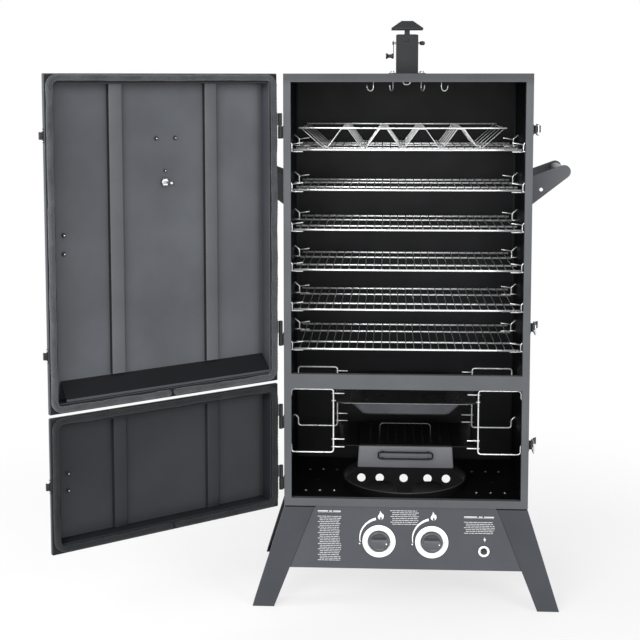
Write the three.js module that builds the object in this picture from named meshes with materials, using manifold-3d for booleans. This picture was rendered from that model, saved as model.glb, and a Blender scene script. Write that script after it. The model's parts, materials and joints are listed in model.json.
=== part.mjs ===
// Double-door gas cabinet smoker: sheet-steel cabinet on four splayed legs, six racks,
// water pan, chip box, two burners under the floor, chimney with damper.
// Millimetres, +Z up, front faces -Y, +X is the right side seen from the front.
// The origin is on the ground, midway across the footprint with the doors open.
import * as THREE from 'three';
import { mergeVertices } from 'three/addons/utils/BufferGeometryUtils.js';
import Module from 'manifold-3d';

const wasm = await Module();
wasm.setup();

// ---------------------------------------------------------------- driving dimensions
const width = 645;
const depth = 452;
const height = 1146;
const legHeight = 279; // cabinet floor above the ground
const sheet = 1.5; // cabinet sheet
const plate = 2; // thicker sheet of the front, legs and doors
const gap = 0.3; // running gap between separate pieces

const sideX = width / 2; // outer face of the right side
const frontY = -depth / 2;
const backY = depth / 2;
const floorZ = legHeight; // underside of the cabinet
const roofZ = floorZ + height;

// Placements shared between sections; heights are above the cabinet bottom
const rackHeights = [945, 838, 731, 623, 515.5, 408]; // rod centres
const latchHeights = [1001.5, 483, 168]; // two on the upper door, one on the lower
const hingeHeights = { upper: [1011, 466], lower: [243, 78] }; // top, bottom
const hingePin = { x: -330.5, y: frontY - 2.5 };
const leverPin = { x: 329, y: frontY + 22 }; // latch lever axis
const knobX = 70;
const knobZ = floorZ - 93;
const igniter = { x: 208, z: floorZ - 116 };
const sides = [['left', -1], ['right', 1]];

// ---------------------------------------------------------------- materials
const material = (color, { roughness, metalness }) => (
  new THREE.MeshStandardMaterial({ color, roughness, metalness }));
const paint = material(0x55585d, { roughness: 0.55, metalness: 0.2 });
const darkPaint = material(0x3a3c40, { roughness: 0.6, metalness: 0.2 });
const chrome = material(0xd8dadc, { roughness: 0.2, metalness: 1 });
const enamel = material(0x17181a, { roughness: 0.3, metalness: 0.1 });
const rope = material(0x5b5d60, { roughness: 1, metalness: 0 });
const steel = material(0x9a9da0, { roughness: 0.35, metalness: 0.9 });
const black = material(0x1b1c1e, { roughness: 0.5, metalness: 0.1 });
const gripGrey = material(0xb9bcc0, { roughness: 0.45, metalness: 0.3 });
const brass = material(0xa98a4a, { roughness: 0.35, metalness: 0.9 });
const dialMetal = material(0xc9ccd0, { roughness: 0.3, metalness: 0.9 });

// ---------------------------------------------------------------- solid helpers
const radians = (degrees) => (degrees * Math.PI) / 180;

const solidOf = (geometry) => {
  const bare = geometry.clone();
  bare.deleteAttribute('normal');
  bare.deleteAttribute('uv');
  const merged = mergeVertices(bare, 1e-5);
  return new wasm.Manifold(new wasm.Mesh({
    numProp: 3,
    vertProperties: new Float32Array(merged.attributes.position.array),
    triVerts: new Uint32Array(merged.index.array),
  }));
};
const indexed = (positions, indices) => {
  const geometry = new THREE.BufferGeometry();
  geometry.setAttribute('position', new THREE.BufferAttribute(new Float32Array(positions), 3));
  geometry.setIndex(indices);
  return geometry;
};
const geometryOf = (solid) => {
  const mesh = solid.getMesh();
  const geometry = indexed(mesh.vertProperties, Array.from(mesh.triVerts));
  geometry.computeVertexNormals();
  return geometry;
};
const union = (...parts) => geometryOf(parts.map(solidOf).reduce((a, b) => a.add(b)));
const cut = (base, ...tools) => (
  geometryOf(tools.map(solidOf).reduce((a, b) => a.subtract(b), solidOf(base))));
const mirrored = (geometry, x, y) => geometryOf(solidOf(geometry).scale([x, y, 1]));

const box = (x0, x1, y0, y1, z0, z1) => new THREE.BoxGeometry(x1 - x0, y1 - y0, z1 - z0)
  .translate((x0 + x1) / 2, (y0 + y1) / 2, (z0 + z1) / 2);
// a box given by its distances from the middle plane, on the left (-1) or right (+1)
const sideBox = (side, inner, outer, ...rest) => (
  side > 0 ? box(inner, outer, ...rest) : box(-outer, -inner, ...rest));

// Outlines: lists of [a, b] points, counter-clockwise
const circle = (ca, cb, r, n) => Array.from({ length: n }, (_, i) => [
  ca + r * Math.cos((2 * Math.PI * i) / n), cb + r * Math.sin((2 * Math.PI * i) / n)]);
const rect = (a0, a1, b0, b1) => [[a0, b0], [a1, b0], [a1, b1], [a0, b1]];
const roundRect = (a0, a1, b0, b1, r, steps) => {
  const corners = [
    [a1 - r, b0 + r, -90], [a1 - r, b1 - r, 0], [a0 + r, b1 - r, 90], [a0 + r, b0 + r, 180]];
  return corners.flatMap(([ca, cb, start]) => Array.from({ length: steps + 1 }, (_, i) => {
    const angle = radians(start + (90 * i) / steps);
    return [ca + r * Math.cos(angle), cb + r * Math.sin(angle)];
  }));
};
// Limits of a rectangle, [a0, a1, b0, b1]
const square = (half) => [-half, half, -half, half];
const inset = ([a0, a1, b0, b1], da, db = da) => [a0 + da, a1 - da, b0 + db, b1 - db];

const vectors = (points) => points.map(([a, b]) => new THREE.Vector2(a, b));
const slab = (points, holes, thickness) => {
  const shape = new THREE.Shape(vectors(points));
  // holes run clockwise, against the outline
  shape.holes = holes.map((hole) => new THREE.Path(vectors(hole).reverse()));
  return new THREE.ExtrudeGeometry(shape, { depth: thickness, bevelEnabled: false });
};
// a sheet cut in the XY, XZ or YZ plane and thickened along the third axis
const plateXY = (points, holes, z0, z1) => slab(points, holes, z1 - z0).translate(0, 0, z0);
const plateXZ = (points, holes, y0, y1) => (
  slab(points, holes, y1 - y0).rotateX(Math.PI / 2).translate(0, y1, 0));
const yzPlane = new THREE.Matrix4().set(0, 0, 1, 0, 1, 0, 0, 0, 0, 1, 0, 0, 0, 0, 0, 1);
const plateYZ = (points, holes, x0, x1) => (
  slab(points, holes, x1 - x0).applyMatrix4(yzPlane).translate(x0, 0, 0));

// turns a Y-axis geometry to lie along another axis
const turnTo = (axis, geometry) => {
  if (axis === 'x') geometry.rotateZ(-Math.PI / 2);
  if (axis === 'z') geometry.rotateX(Math.PI / 2);
  return geometry;
};
// centred on x, y, z; endRadius is at the positive end
const cylinder = (axis, x, y, z, r, length, n, endRadius = r) => (
  turnTo(axis, new THREE.CylinderGeometry(endRadius, r, length, n)).translate(x, y, z));
// profile rows: radius, distance along the axis
const turned = (axis, x, y, z, profile, n) => (
  turnTo(axis, new THREE.LatheGeometry(vectors(profile), n)).translate(x, y, z));

// joins two rectangles, each given by its limits, at two heights
const frustum = (low, high, z0, z1) => {
  const corners = [[low, z0], [high, z1]]
    .flatMap(([limits, z]) => rect(...limits).flatMap(([x, y]) => [x, y, z]));
  return indexed(corners, [
    0, 2, 1, 0, 3, 2, 4, 5, 6, 4, 6, 7, 0, 1, 5, 0, 5, 4,
    1, 2, 6, 1, 6, 5, 2, 3, 7, 2, 7, 6, 3, 0, 4, 3, 4, 7]);
};

// rounds the corners of a bent wire's centre line
const bend = (points, radius, steps, closed = false) => {
  const corners = points.map((p) => new THREE.Vector3(...p));
  const count = corners.length;
  return corners.flatMap((corner, i) => {
    if (!closed && (i === 0 || i === count - 1)) return [corner];
    const before = corners[(i - 1 + count) % count];
    const after = corners[(i + 1) % count];
    const reach = Math.min(
      radius, before.distanceTo(corner) * 0.45, after.distanceTo(corner) * 0.45);
    const towards = (end) => end.clone().sub(corner).setLength(reach).add(corner);
    return new THREE.QuadraticBezierCurve3(towards(before), corner, towards(after))
      .getPoints(steps);
  });
};
// a round bar with n sides along a centre line, mitred at each bend; closed loops must be flat
const wire = (points, r, n, closed = false) => {
  const centres = points.map((p) => new THREE.Vector3(...p));
  const count = centres.length;
  const directions = (i) => {
    const before = centres[closed ? (i - 1 + count) % count : Math.max(i - 1, 0)];
    const after = centres[closed ? (i + 1) % count : Math.min(i + 1, count - 1)];
    const arriving = centres[i].clone().sub(before).normalize();
    const leaving = after.clone().sub(centres[i]).normalize();
    return {
      mitre: arriving.clone().add(leaving).normalize(),
      incoming: arriving.lengthSq() > 0 ? arriving : leaving,
    };
  };
  let heading = directions(0).incoming;
  const across = new THREE.Vector3(0, 0, 1);
  if (Math.abs(heading.z) > 0.8) across.set(1, 0, 0);
  across.addScaledVector(heading, -across.dot(heading)).normalize();
  const positions = [];
  for (let i = 0; i < count; i++) {
    const { mitre, incoming } = directions(i);
    across.applyQuaternion(new THREE.Quaternion().setFromUnitVectors(heading, incoming));
    heading = incoming;
    const other = new THREE.Vector3().crossVectors(incoming, across);
    for (let k = 0; k < n; k++) {
      const angle = (2 * Math.PI * (k + 0.5)) / n;
      const offset = across.clone().multiplyScalar(r * Math.cos(angle))
        .addScaledVector(other, r * Math.sin(angle));
      // slide along the incoming direction onto the mitre plane
      const slide = -offset.dot(mitre) / incoming.dot(mitre);
      positions.push(...offset.add(centres[i]).addScaledVector(incoming, slide));
    }
  }
  const indices = [];
  for (let i = 0; i < (closed ? count : count - 1); i++) {
    const ring = i * n;
    const nextRing = ((i + 1) % count) * n;
    for (let k = 0; k < n; k++) {
      const next = (k + 1) % n;
      indices.push(ring + k, ring + next, nextRing + next);
      indices.push(ring + k, nextRing + next, nextRing + k);
    }
  }
  if (!closed) {
    const end = (count - 1) * n;
    for (let k = 1; k < n - 1; k++) indices.push(0, k + 1, k, end, end + k, end + k + 1);
  }
  return indexed(positions, indices);
};

const group = new THREE.Group();
const add = (name, geometry, finish, parent = group) => {
  const mesh = new THREE.Mesh(geometry, finish);
  mesh.name = name;
  parent.add(mesh);
};

// ---------------------------------------------------------------- side panels
const hangerX = 307;
const hangerYs = [92, 385]; // behind the front plane
const sideMidX = sideX - sheet / 2; // middle of the side sheet, where the wires end

const rackHanger = (side, y, rackZ) => {
  const wallX = side * sideMidX;
  const innerX = side * (hangerX - 29);
  const low = rackZ - 5.6;
  const high = rackZ + 15;
  const outerX = side * hangerX;
  return [
    wire([[wallX, y, high + 12], [outerX, y, high], [outerX, y, low], [innerX, y, low]], 1.8, 4),
    wire([[side * (hangerX + 0.8), y, high - 0.8], [innerX, y, high + 3]], 1.5, 4),
    wire([[side * (hangerX - 0.5), y, low + 1], [wallX, y, low + 1]], 1.5, 4),
  ];
};
// wire frame at the level of the water pan and chip box, with four short prongs
const lowerFrame = (side, y) => {
  const outerX = 309;
  const innerX = 195;
  // distance from the middle plane, height above the cabinet bottom
  const line = [
    [sideMidX, 268], [outerX, 276], [outerX, 298], [innerX, 298],
    [innerX, 124], [outerX, 124], [outerX, 148], [sideMidX, 156]];
  return [
    wire(bend(line.map(([x, z]) => [side * x, y, floorZ + z]), 6, 1), 2, 4),
    ...[286, 266, 160, 138.5].map((z) => (
      wire([[side * innerX, y, floorZ + z], [side * 166, y, floorZ + z]], 1.7, 4))),
  ];
};
const sidePanel = (side) => [
  sideBox(side, sideX - sheet, sideX, frontY + plate + gap, backY, floorZ, roofZ),
  ...rackHeights.flatMap((z) => hangerYs.flatMap((y) => (
    rackHanger(side, frontY + y, floorZ + z)))),
  ...[80, 355].flatMap((y) => lowerFrame(side, frontY + y)),
];
// base plate and two bored ears that carry the lever pin
const latchBase = (latchHeight) => {
  const z = floorZ + latchHeight;
  const { x: pinX, y: pinY } = leverPin;
  const ear = (bottom) => cut(
    box(sideX - 1, pinX + 4.2, pinY - 5.5, pinY + 5.5, z + bottom, z + bottom + sheet),
    cylinder('z', pinX, pinY, z + bottom + sheet / 2, 2.3, 6, 10));
  return [
    box(sideX - 1, sideX + 2, frontY + 8, frontY + 62, z - 14, z + 14), ear(9.4), ear(-10.9)];
};
add('left_side_panel', union(...sidePanel(-1)), paint);
add('right_side_panel', union(...sidePanel(1), ...latchHeights.flatMap(latchBase)), paint);

// ---------------------------------------------------------------- back, roof and floor
const insideX = sideX - sheet - gap;
const insideLimits = [-insideX, insideX, frontY + plate + gap, backY - sheet - gap];

add('back_panel', box(-insideX, insideX, backY - sheet, backY, floorZ, roofZ), paint);

const roofMidZ = roofZ - sheet / 2;
const meatHook = (x, y, turn, reach) => {
  // distance out from the shank, height
  const line = [
    [0, roofMidZ], [0, roofZ - 40], [reach * 0.18, roofZ - 46],
    [reach * 0.55, roofZ - 47.5], [reach * 0.86, roofZ - 42], [reach, roofZ - 31]];
  const cos = Math.cos(radians(turn));
  const sin = Math.sin(radians(turn));
  return wire(line.map(([out, z]) => [x + out * cos, y + out * sin, z]), 1.8, 6);
};
const roofEye = wire(bend(
  [[-10, 34, roofMidZ], [-10, 34, roofZ - 30], [10, 34, roofZ - 30], [10, 34, roofMidZ]],
  9, 3), 1.8, 6);
add('top_panel', union(
  plateXY(rect(...insideLimits), [rect(...square(27))], roofZ - sheet, roofZ),
  meatHook(-92, 0, 180, 17),
  meatHook(-38, -6, 235, 15),
  meatHook(39, -6, -55, 15),
  meatHook(95, 0, 0, 17),
  roofEye), paint);

// floor with a raised round collar over the burners, small holes and slots
const collarRadius = 170;
const floorPanel = () => {
  const mouth = circle(0, 0, collarRadius - 2, 32);
  const openings = [-1, 1].flatMap((side) => [
    ...[195, 234, 272].flatMap((x) => [-98, 98].map((y) => circle(side * x, y, 3.2, 6))),
    rect(side * 244 - 8, side * 244 + 8, -2.5, 1.5),
  ]);
  return union(
    plateXY(rect(...insideLimits), [mouth, ...openings], floorZ, floorZ + sheet),
    plateXY(circle(0, 0, collarRadius, 32), [mouth], floorZ, floorZ + 19),
    plateXY(circle(0, 0, collarRadius + 2.5, 32), [mouth], floorZ + 18, floorZ + 22));
};
add('floor_panel', floorPanel(), darkPaint);

// ---------------------------------------------------------------- front frame
const openingX = sideX - 19; // half width of both door openings
// from, to; the divider rail lies between the two
const doorOpenings = [[floorZ + 356.6, roofZ - 22], [floorZ + 20.8, floorZ + 317]];
const turnedLip = ([z0, z1]) => cut(
  box(-openingX - sheet, openingX + sheet, frontY + 1, frontY + 16, z0 - sheet, z1 + sheet),
  box(-openingX, openingX, frontY, frontY + 17, z0, z1));
add('front_frame', union(
  plateXZ(rect(-sideX, sideX, floorZ, roofZ),
    doorOpenings.map(([z0, z1]) => rect(-openingX, openingX, z0, z1)), frontY, frontY + plate),
  ...doorOpenings.map(turnedLip)), paint);

// ---------------------------------------------------------------- legs
const legSplay = 86.5; // how far each foot stands outside the cabinet
const legTopWidth = 79;
const legFootWidth = 58;
const legFlange = 45;
const skirtDrop = 3.5; // legs and control panel start this far below the cabinet bottom
const legTopZ = floorZ - skirtDrop;
const flangeZ = floorZ - gap; // top of the flanges under the cabinet

const frontLeftLeg = () => {
  const footX = -sideX - legSplay;
  const flangeX = -sideX + (legSplay / legTopZ) * (skirtDrop - gap);
  const face = [
    [-sideX, legTopZ], [-sideX + legTopWidth, legTopZ], [footX + legFootWidth, 0], [footX, 0]];
  const flange = [[flangeX, flangeZ], [flangeX + 2, flangeZ], [footX + 2.1, 0], [footX, 0]];
  return union(
    plateXZ(face, [], frontY, frontY + plate),
    plateXZ(flange, [], frontY + 1, frontY + legFlange),
    box(footX + 0.6, footX + legFootWidth - 1, frontY + 1, frontY + legFlange, 0, 2));
};
for (const [end, mirrorY] of [['front', 1], ['rear', -1]]) {
  for (const [name, side] of sides) {
    add(`${end}_${name}_leg`, mirrored(frontLeftLeg(), -side, mirrorY), paint);
  }
}

// ---------------------------------------------------------------- control panel and skirts
// half width between the inner leg edges, at a distance below the cabinet bottom
const skirtHalf = (below) => sideX - legTopWidth - 0.5
  + ((below - skirtDrop) * (legSplay + legTopWidth - legFootWidth)) / legTopZ;
const skirtOutline = (below) => [
  [-skirtHalf(skirtDrop), legTopZ], [-skirtHalf(below), floorZ - below],
  [skirtHalf(below), floorZ - below], [skirtHalf(skirtDrop), legTopZ]];

const controlPanel = () => {
  const bottom = skirtDrop + 166;
  const bottomZ = floorZ - bottom;
  const lowX = skirtHalf(bottom) - 8;
  const highX = skirtHalf(skirtDrop) - 4;
  const knobXs = [-knobX, knobX];
  return cut(union(
    plateXZ(skirtOutline(bottom), [], frontY, frontY + plate),
    box(-lowX, lowX, frontY + 1, frontY + 16, bottomZ, bottomZ + 2),
    box(-highX, highX, frontY + 1, frontY + 30, flangeZ - 2, flangeZ),
    box(-highX, highX, frontY + 1, frontY + 2, legTopZ - 1, flangeZ),
    ...knobXs.map((x) => cylinder('y', x, frontY, knobZ, 43, 4, 24)),
    cylinder('y', igniter.x, frontY, igniter.z, 14.5, 4, 20)),
  ...knobXs.map((x) => cylinder('y', x, frontY, knobZ, 5, 20, 12)),
  cylinder('y', igniter.x, frontY, igniter.z, 8, 20, 16));
};
add('control_panel', controlPanel(), paint);

const skirtHoleXs = [-126.5, -71.5, 0, 71.5, 126.5];
add('rear_skirt', union(
  plateXZ(skirtOutline(112),
    skirtHoleXs.map((x) => circle(x, floorZ - 60, 12.6, 14)), backY - plate, backY),
  box(-230, 230, backY - 20, backY - 1, flangeZ - 2, flangeZ),
  box(-230, 230, backY - 2, backY - 1, floorZ - 5, flangeZ)), paint);

for (const [name, side] of sides) {
  const x = sideX - 3;
  const ends = [frontY + legFlange + 2, backY - legFlange - 2];
  add(`${name}_skirt`, union(
    sideBox(side, x - 0.8, x + 0.8, ...ends, floorZ - 90, flangeZ),
    sideBox(side, x - 18, x, ...ends, flangeZ - 2, flangeZ)), paint);
}

// ---------------------------------------------------------------- chimney and damper
const flueHalf = 30; // half the square flue
const shaftZ = roofZ + 83; // damper shaft
const capZ = roofZ + 120;

const chimneyTube = () => {
  const bore = rect(...square(flueHalf - 2));
  const baseZ = roofZ + gap;
  const bolts = [-40, 40].flatMap((x) => [-40, 40].map((y) => (
    cylinder('z', x, y, baseZ + 3.2, 5, 4, 10, 3.2))));
  return cut(union(
    plateXY(rect(...square(flueHalf)), [bore], baseZ, roofZ + 105),
    plateXY(rect(...square(50)), [bore], baseZ, baseZ + sheet),
    cylinder('y', 0, -flueHalf - 1, roofZ + 90, 4, 2.4, 10, 2.6),
    cylinder('y', 0, flueHalf + 1, roofZ + 90, 2.6, 2.4, 10, 4),
    ...bolts),
  cylinder('x', 0, 0, shaftZ, 3.6, 80, 12));
};
add('chimney_tube', chimneyTube(), paint);

// hollow pyramid and rim, with a strap across and two strips down inside the flue
add('chimney_cap', union(
  cut(frustum(square(43), square(15.5), capZ + 3, capZ + 23),
    frustum(square(41.5), square(13.5), capZ + 2.9, capZ + 21)),
  cut(box(...square(43), capZ - 1, capZ + 3.5), box(...square(40.5), capZ - 2, capZ + 4)),
  box(-7, 7, -41, 41, capZ + 0.5, capZ + 2),
  ...[-27.7, 26.2].map((y) => box(-7, 7, y, y + 1.5, roofZ + 79, capZ + 1.5))), paint);

add('damper_plate', box(-26.5, 26.5, -3.8 - sheet, -3.8, shaftZ - 24, shaftZ + 24), paint);

const shaftKnobProfile = [[0, -2], [3.5, -1], [5.6, 3], [5.6, 9], [3.5, 12.5], [0, 13]];
add('damper_shaft', union(
  cylinder('x', 0.15, 0, shaftZ, 3, 71.7, 12),
  turned('x', 36, 0, shaftZ, shaftKnobProfile, 12)), steel);

const crankKnobProfile = [
  [0, 0], [7.5, 0], [8, 2.5], [5, 6], [4.6, 12], [5.6, 16], [7.5, 19], [7, 21], [0, 21]];
add('damper_crank', union(
  plateYZ(roundRect(-5, 5, shaftZ - 40, shaftZ + 6, 4.8, 3), [], -38, -36),
  turned('x', -58, 0, shaftZ - 35, crankKnobProfile, 12)), black);

// ---------------------------------------------------------------- side handles
const gripX = 419;
const gripZ = floorZ + 885;
const bracketX = sideX + gap;
const bracketZ = [floorZ + 787, floorZ + 868.6]; // where it meets the side panel

const rightHandleBracket = () => {
  const tipRadius = 18;
  const steps = 9;
  const start = -51.8;
  const end = 110;
  const tip = Array.from({ length: steps + 1 }, (_, i) => {
    const angle = radians(start + ((end - start) * i) / steps);
    return [gripX + tipRadius * Math.cos(angle), gripZ + tipRadius * Math.sin(angle)];
  });
  const outline = [...tip, [bracketX, bracketZ[1]], [bracketX, bracketZ[0]]];
  const hole = circle(359, floorZ + 837, 5, 12);
  return union(
    plateXZ(outline, [hole], -99.5, -97.5),
    plateXZ(outline, [hole], 97.5, 99.5),
    box(bracketX, bracketX + 2, -99, 99, ...bracketZ));
};
const gripProfile = [
  [0, -97.2], [11.5, -97.2], [12.6, -94], [12.6, 94], [11.5, 97.2], [0, 97.2]];
for (const [name, side] of sides) {
  add(`${name}_handle_bracket`, mirrored(rightHandleBracket(), side, 1), paint);
  add(`${name}_handle_grip`, turned('y', side * gripX, 0, gripZ, gripProfile, 16), gripGrey);
}

// ---------------------------------------------------------------- doors
// Drawn closed, then swung about the hinge pin to the angle they stand open at
const doorOpenAngle = 142.07; // degrees
const doorLeft = -322;
const doorRight = 320;
const doorLip = 24; // flat border round the raised panel
const doorEdge = 9; // depth of the border
const lipY = frontY - 4; // inner face of the border
const skinY = lipY - 40; // outer face of the raised panel
const upperSpan = [341, height]; // bottom, top above the cabinet bottom
const lowerSpan = [0, 333];
const ribs = [[160.5, 199.5], [425, 465]]; // stiffening ribs, from the left edge
const handleX = doorLeft + 582;
const gauge = { x: doorLeft + 310, y: skinY - gap, z: floorZ + 877 };

const doorGroup = new THREE.Group();
doorGroup.position.set(hingePin.x, hingePin.y, 0);
doorGroup.rotation.z = -radians(doorOpenAngle);
group.add(doorGroup);
const addToDoor = (name, geometry, finish) => (
  add(name, geometry.translate(-hingePin.x, -hingePin.y, 0), finish, doorGroup));

// plate and hooked catch on the door's right edge, for a latch loop
const keeper = (z) => [
  box(doorRight - 1, doorRight + 1.6, frontY - 13, frontY - 4.5, z - 17, z + 17),
  box(doorRight - 1, doorRight + 10, frontY - 9.2, frontY - 6.7, z - 9, z + 9),
  box(doorRight + 7.5, doorRight + 10, frontY - 14.2, frontY - 6.7, z - 9, z + 9),
];
const doorHinge = (z) => [
  cylinder('z', hingePin.x, hingePin.y, z + 16.75, 5.5, 32.5, 14),
  box(hingePin.x, doorLeft + 1, frontY - 8, frontY - 5.6, z + 0.5, z + 33),
  box(doorLeft - 2, doorLeft + 1, frontY - 13, frontY - 5.6, z + 0.5, z + 33),
];
// nuts on the inside of the skin: x, height, radius, thickness
const doorShell = ([bottom, top], { nuts, keepers, hinges, ribStart, bores = [] }) => {
  const z0 = floorZ + bottom;
  const z1 = floorZ + top;
  const panelLimits = [doorLeft + doorLip, doorRight - doorLip];
  const border = cut(
    box(doorLeft, doorRight, lipY - doorEdge, lipY, z0, z1),
    box(doorLeft + plate, doorRight - plate, lipY - doorEdge - 1, lipY - plate,
      z0 + plate, z1 - plate));
  const raised = box(panelLimits[0] - plate, panelLimits[1] + plate, skinY, lipY - 1,
    z0 + doorLip - plate, z1 - doorLip + plate);
  const hollow = box(...panelLimits, skinY + plate, lipY + 5, z0 + doorLip, z1 - doorLip);
  const rib = ([from, to]) => box(doorLeft + from, doorLeft + to, skinY + 1, skinY + 11,
    z0 + ribStart, z1 - doorLip + 1);
  const nut = ([x, z, r, thick]) => (
    cylinder('y', x, skinY + plate + thick / 2 - 0.5, floorZ + z, r, thick + 1, 6));
  const shell = union(cut(union(border, raised), hollow),
    ...ribs.map(rib),
    ...nuts.map(nut),
    ...keepers.flatMap((z) => keeper(floorZ + z)),
    ...hinges.flatMap((z) => doorHinge(floorZ + z)));
  const pinHole = (z) => cylinder('z', hingePin.x, hingePin.y, floorZ + z + 10, 3.4, 36, 12);
  return cut(shell, ...hinges.map(pinHole), ...bores);
};
addToDoor('upper_door_shell', doorShell(upperSpan, {
  nuts: [
    [doorLeft + 332, 986, 4, 4], [doorLeft + 279, 986, 4, 4], [doorLeft + 308, 905, 3, 3],
    [handleX, 762, 5, 5], [handleX, 717, 5, 5]],
  keepers: latchHeights.slice(0, 2),
  hinges: hingeHeights.upper,
  ribStart: 72,
  bores: [cylinder('y', gauge.x, skinY, gauge.z, 4.6, 12, 16)],
}), paint);
addToDoor('lower_door_shell', doorShell(lowerSpan, {
  nuts: [[handleX, 182, 5, 5], [handleX, 140, 5, 5]],
  keepers: latchHeights.slice(2),
  hinges: hingeHeights.lower,
  ribStart: doorLip - 1,
}), paint);

const gasket = ([bottom, top]) => {
  const door = [doorLeft, doorRight, floorZ + bottom, floorZ + top];
  return plateXZ(roundRect(...inset(door, 2), 26, 5),
    [roundRect(...inset(door, 23), 12, 5)], lipY + gap, frontY - gap);
};
addToDoor('upper_door_gasket', gasket(upperSpan), rope);
addToDoor('lower_door_gasket', gasket(lowerSpan), rope);

// slopes from the door skin down to the lower lip, with its inner edge turned down;
// rows: distance in front of the lip plane, height above the cabinet bottom
const ledgeProfile = [
  [37.7, 411], [37.7, 409], [3.8, 370.5], [3.8, 366.5], [2.4, 366.5], [2.4, 372.5],
];
addToDoor('upper_drip_ledge', plateYZ(
  ledgeProfile.map(([out, z]) => [lipY - out, floorZ + z]), [],
  doorLeft + doorLip + gap, doorLeft + 597), darkPaint);

const pullProfile = [[0, -62], [7.5, -62], [9, -57], [9, 57], [7.5, 62], [0, 62]];
const pullHandle = (z) => {
  const y = skinY - gap;
  return union(
    box(handleX - 10, handleX + 10, y - 2, y, z - 34, z + 34),
    cylinder('y', handleX, y - 18, z + 22, 5, 34, 10),
    cylinder('y', handleX, y - 18, z - 22, 5, 34, 10),
    turned('z', handleX, y - 38, z, pullProfile, 14));
};
addToDoor('upper_door_handle', pullHandle(floorZ + 739.5), black);
addToDoor('lower_door_handle', pullHandle(floorZ + 161), black);

// dial thermometer through the upper door
const gaugeProfile = [[0, -15], [36, -15], [38, -12], [38, -2], [34, 0], [0, 0]];
addToDoor('thermometer_case', union(
  cut(turned('y', gauge.x, gauge.y, gauge.z, gaugeProfile, 20),
    cylinder('y', gauge.x, gauge.y - 13, gauge.z, 34, 12, 20)),
  cylinder('y', gauge.x, gauge.y + 20, gauge.z, 3.2, 42, 12),
  cylinder('y', gauge.x, gauge.y - 6, gauge.z, 2.2, 6, 10)), dialMetal);
// the needle rests at the cold end of the dial, lower left
addToDoor('thermometer_pointer', cut(
  union(cylinder('y', 0, -10.2, 0, 5, 1.4, 14), box(-1.2, 1.2, -10.9, -9.5, -8, 27))
    .rotateY(radians(-120)).translate(gauge.x, gauge.y, gauge.z),
  cylinder('y', gauge.x, gauge.y - 10, gauge.z, 2.6, 8, 10)), black);
addToDoor('thermometer_nut', cut(
  cylinder('y', gauge.x, skinY + plate + gap + 3, gauge.z, 10, 6, 6),
  cylinder('y', gauge.x, skinY + 5, gauge.z, 3.6, 12, 12)), steel);

// cabinet halves of the lift-off hinges, each with its pin
const cabinetHinge = (z) => union(
  cylinder('z', hingePin.x, hingePin.y, z - 16.75, 5.5, 32.5, 14),
  cylinder('z', hingePin.x, hingePin.y, z + 10, 2.9, 34, 12),
  box(hingePin.x, -sideX - gap, frontY + 0.2, frontY + 2.7, z - 33, z - 0.5),
  box(-sideX - gap - 2, -sideX - gap, frontY + 0.2, frontY + 34, z - 33, z - 0.5));
for (const [door, heights] of Object.entries(hingeHeights)) {
  ['top', 'bottom'].forEach((end, i) => {
    add(`${door}_hinge_${end}`, cabinetHinge(floorZ + heights[i]), darkPaint);
  });
}

// ---------------------------------------------------------------- draw latches, right side
const leverAngle = -radians(9.5); // rest angle away from folded
const loopPin = [3, 12]; // from the lever pin, lever folded
const loopLength = 46.1;
const leverOutline = [
  [-1, -1], [3, -2], [7, 12], [7.4, 34], [12, 46], [9.8, 47], [4.6, 36], [2, 14],
];
// drawn folded, about its own pin
const latchLever = () => cut(union(
  cylinder('z', 0, 0, 0, 3.4, 18, 10),
  cylinder('z', 0, 0, 0, 1.8, 22, 8),
  cylinder('z', ...loopPin, 0, 3.7, 18, 10),
  plateXY(leverOutline, [], -9, 9)),
cylinder('z', ...loopPin, 0, 2.2, 30, 8));
const latchLoop = () => wire(bend(
  [[0, 0, -13], [0, 0, 13], [0, -loopLength, 13], [0, -loopLength, -13]],
  2.5, 1, true), 1.7, 5, true);

latchHeights.forEach((latchHeight, i) => {
  const z = floorZ + latchHeight;
  const leverGroup = new THREE.Group();
  leverGroup.position.set(leverPin.x, leverPin.y, z);
  leverGroup.rotation.z = leverAngle;
  group.add(leverGroup);
  add(`latch_lever_${i + 1}`, latchLever(), black, leverGroup);
  const offset = new THREE.Vector2(...loopPin).rotateAround(new THREE.Vector2(), leverAngle);
  add(`latch_loop_${i + 1}`,
    latchLoop().translate(leverPin.x + offset.x, leverPin.y + offset.y, z), steel);
});

// ---------------------------------------------------------------- racks
const rackHalf = 302; // half the rack width
const rackRodYs = [81.5, 183, 339, 443].map((y) => frontY + y);
const rackColumns = 8;

const rack = (z) => {
  const pitch = (2 * rackHalf) / rackColumns;
  const windows = [];
  for (let row = 0; row < rackRodYs.length - 1; row++) {
    for (let column = 0; column < rackColumns; column++) {
      const x = -rackHalf + column * pitch;
      windows.push(box(x + 2.2, x + pitch - 2.2,
        rackRodYs[row] + 2.6, rackRodYs[row + 1] - 2.6, z - 5, z + 5));
    }
  }
  const bars = box(-rackHalf, rackHalf, rackRodYs[0] - 3, rackRodYs[3] + 3, z - 3, z + 3);
  return cut(bars, ...windows);
};
rackHeights.forEach((z, i) => add(`rack_${i + 1}`, rack(floorZ + z), chrome));

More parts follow.
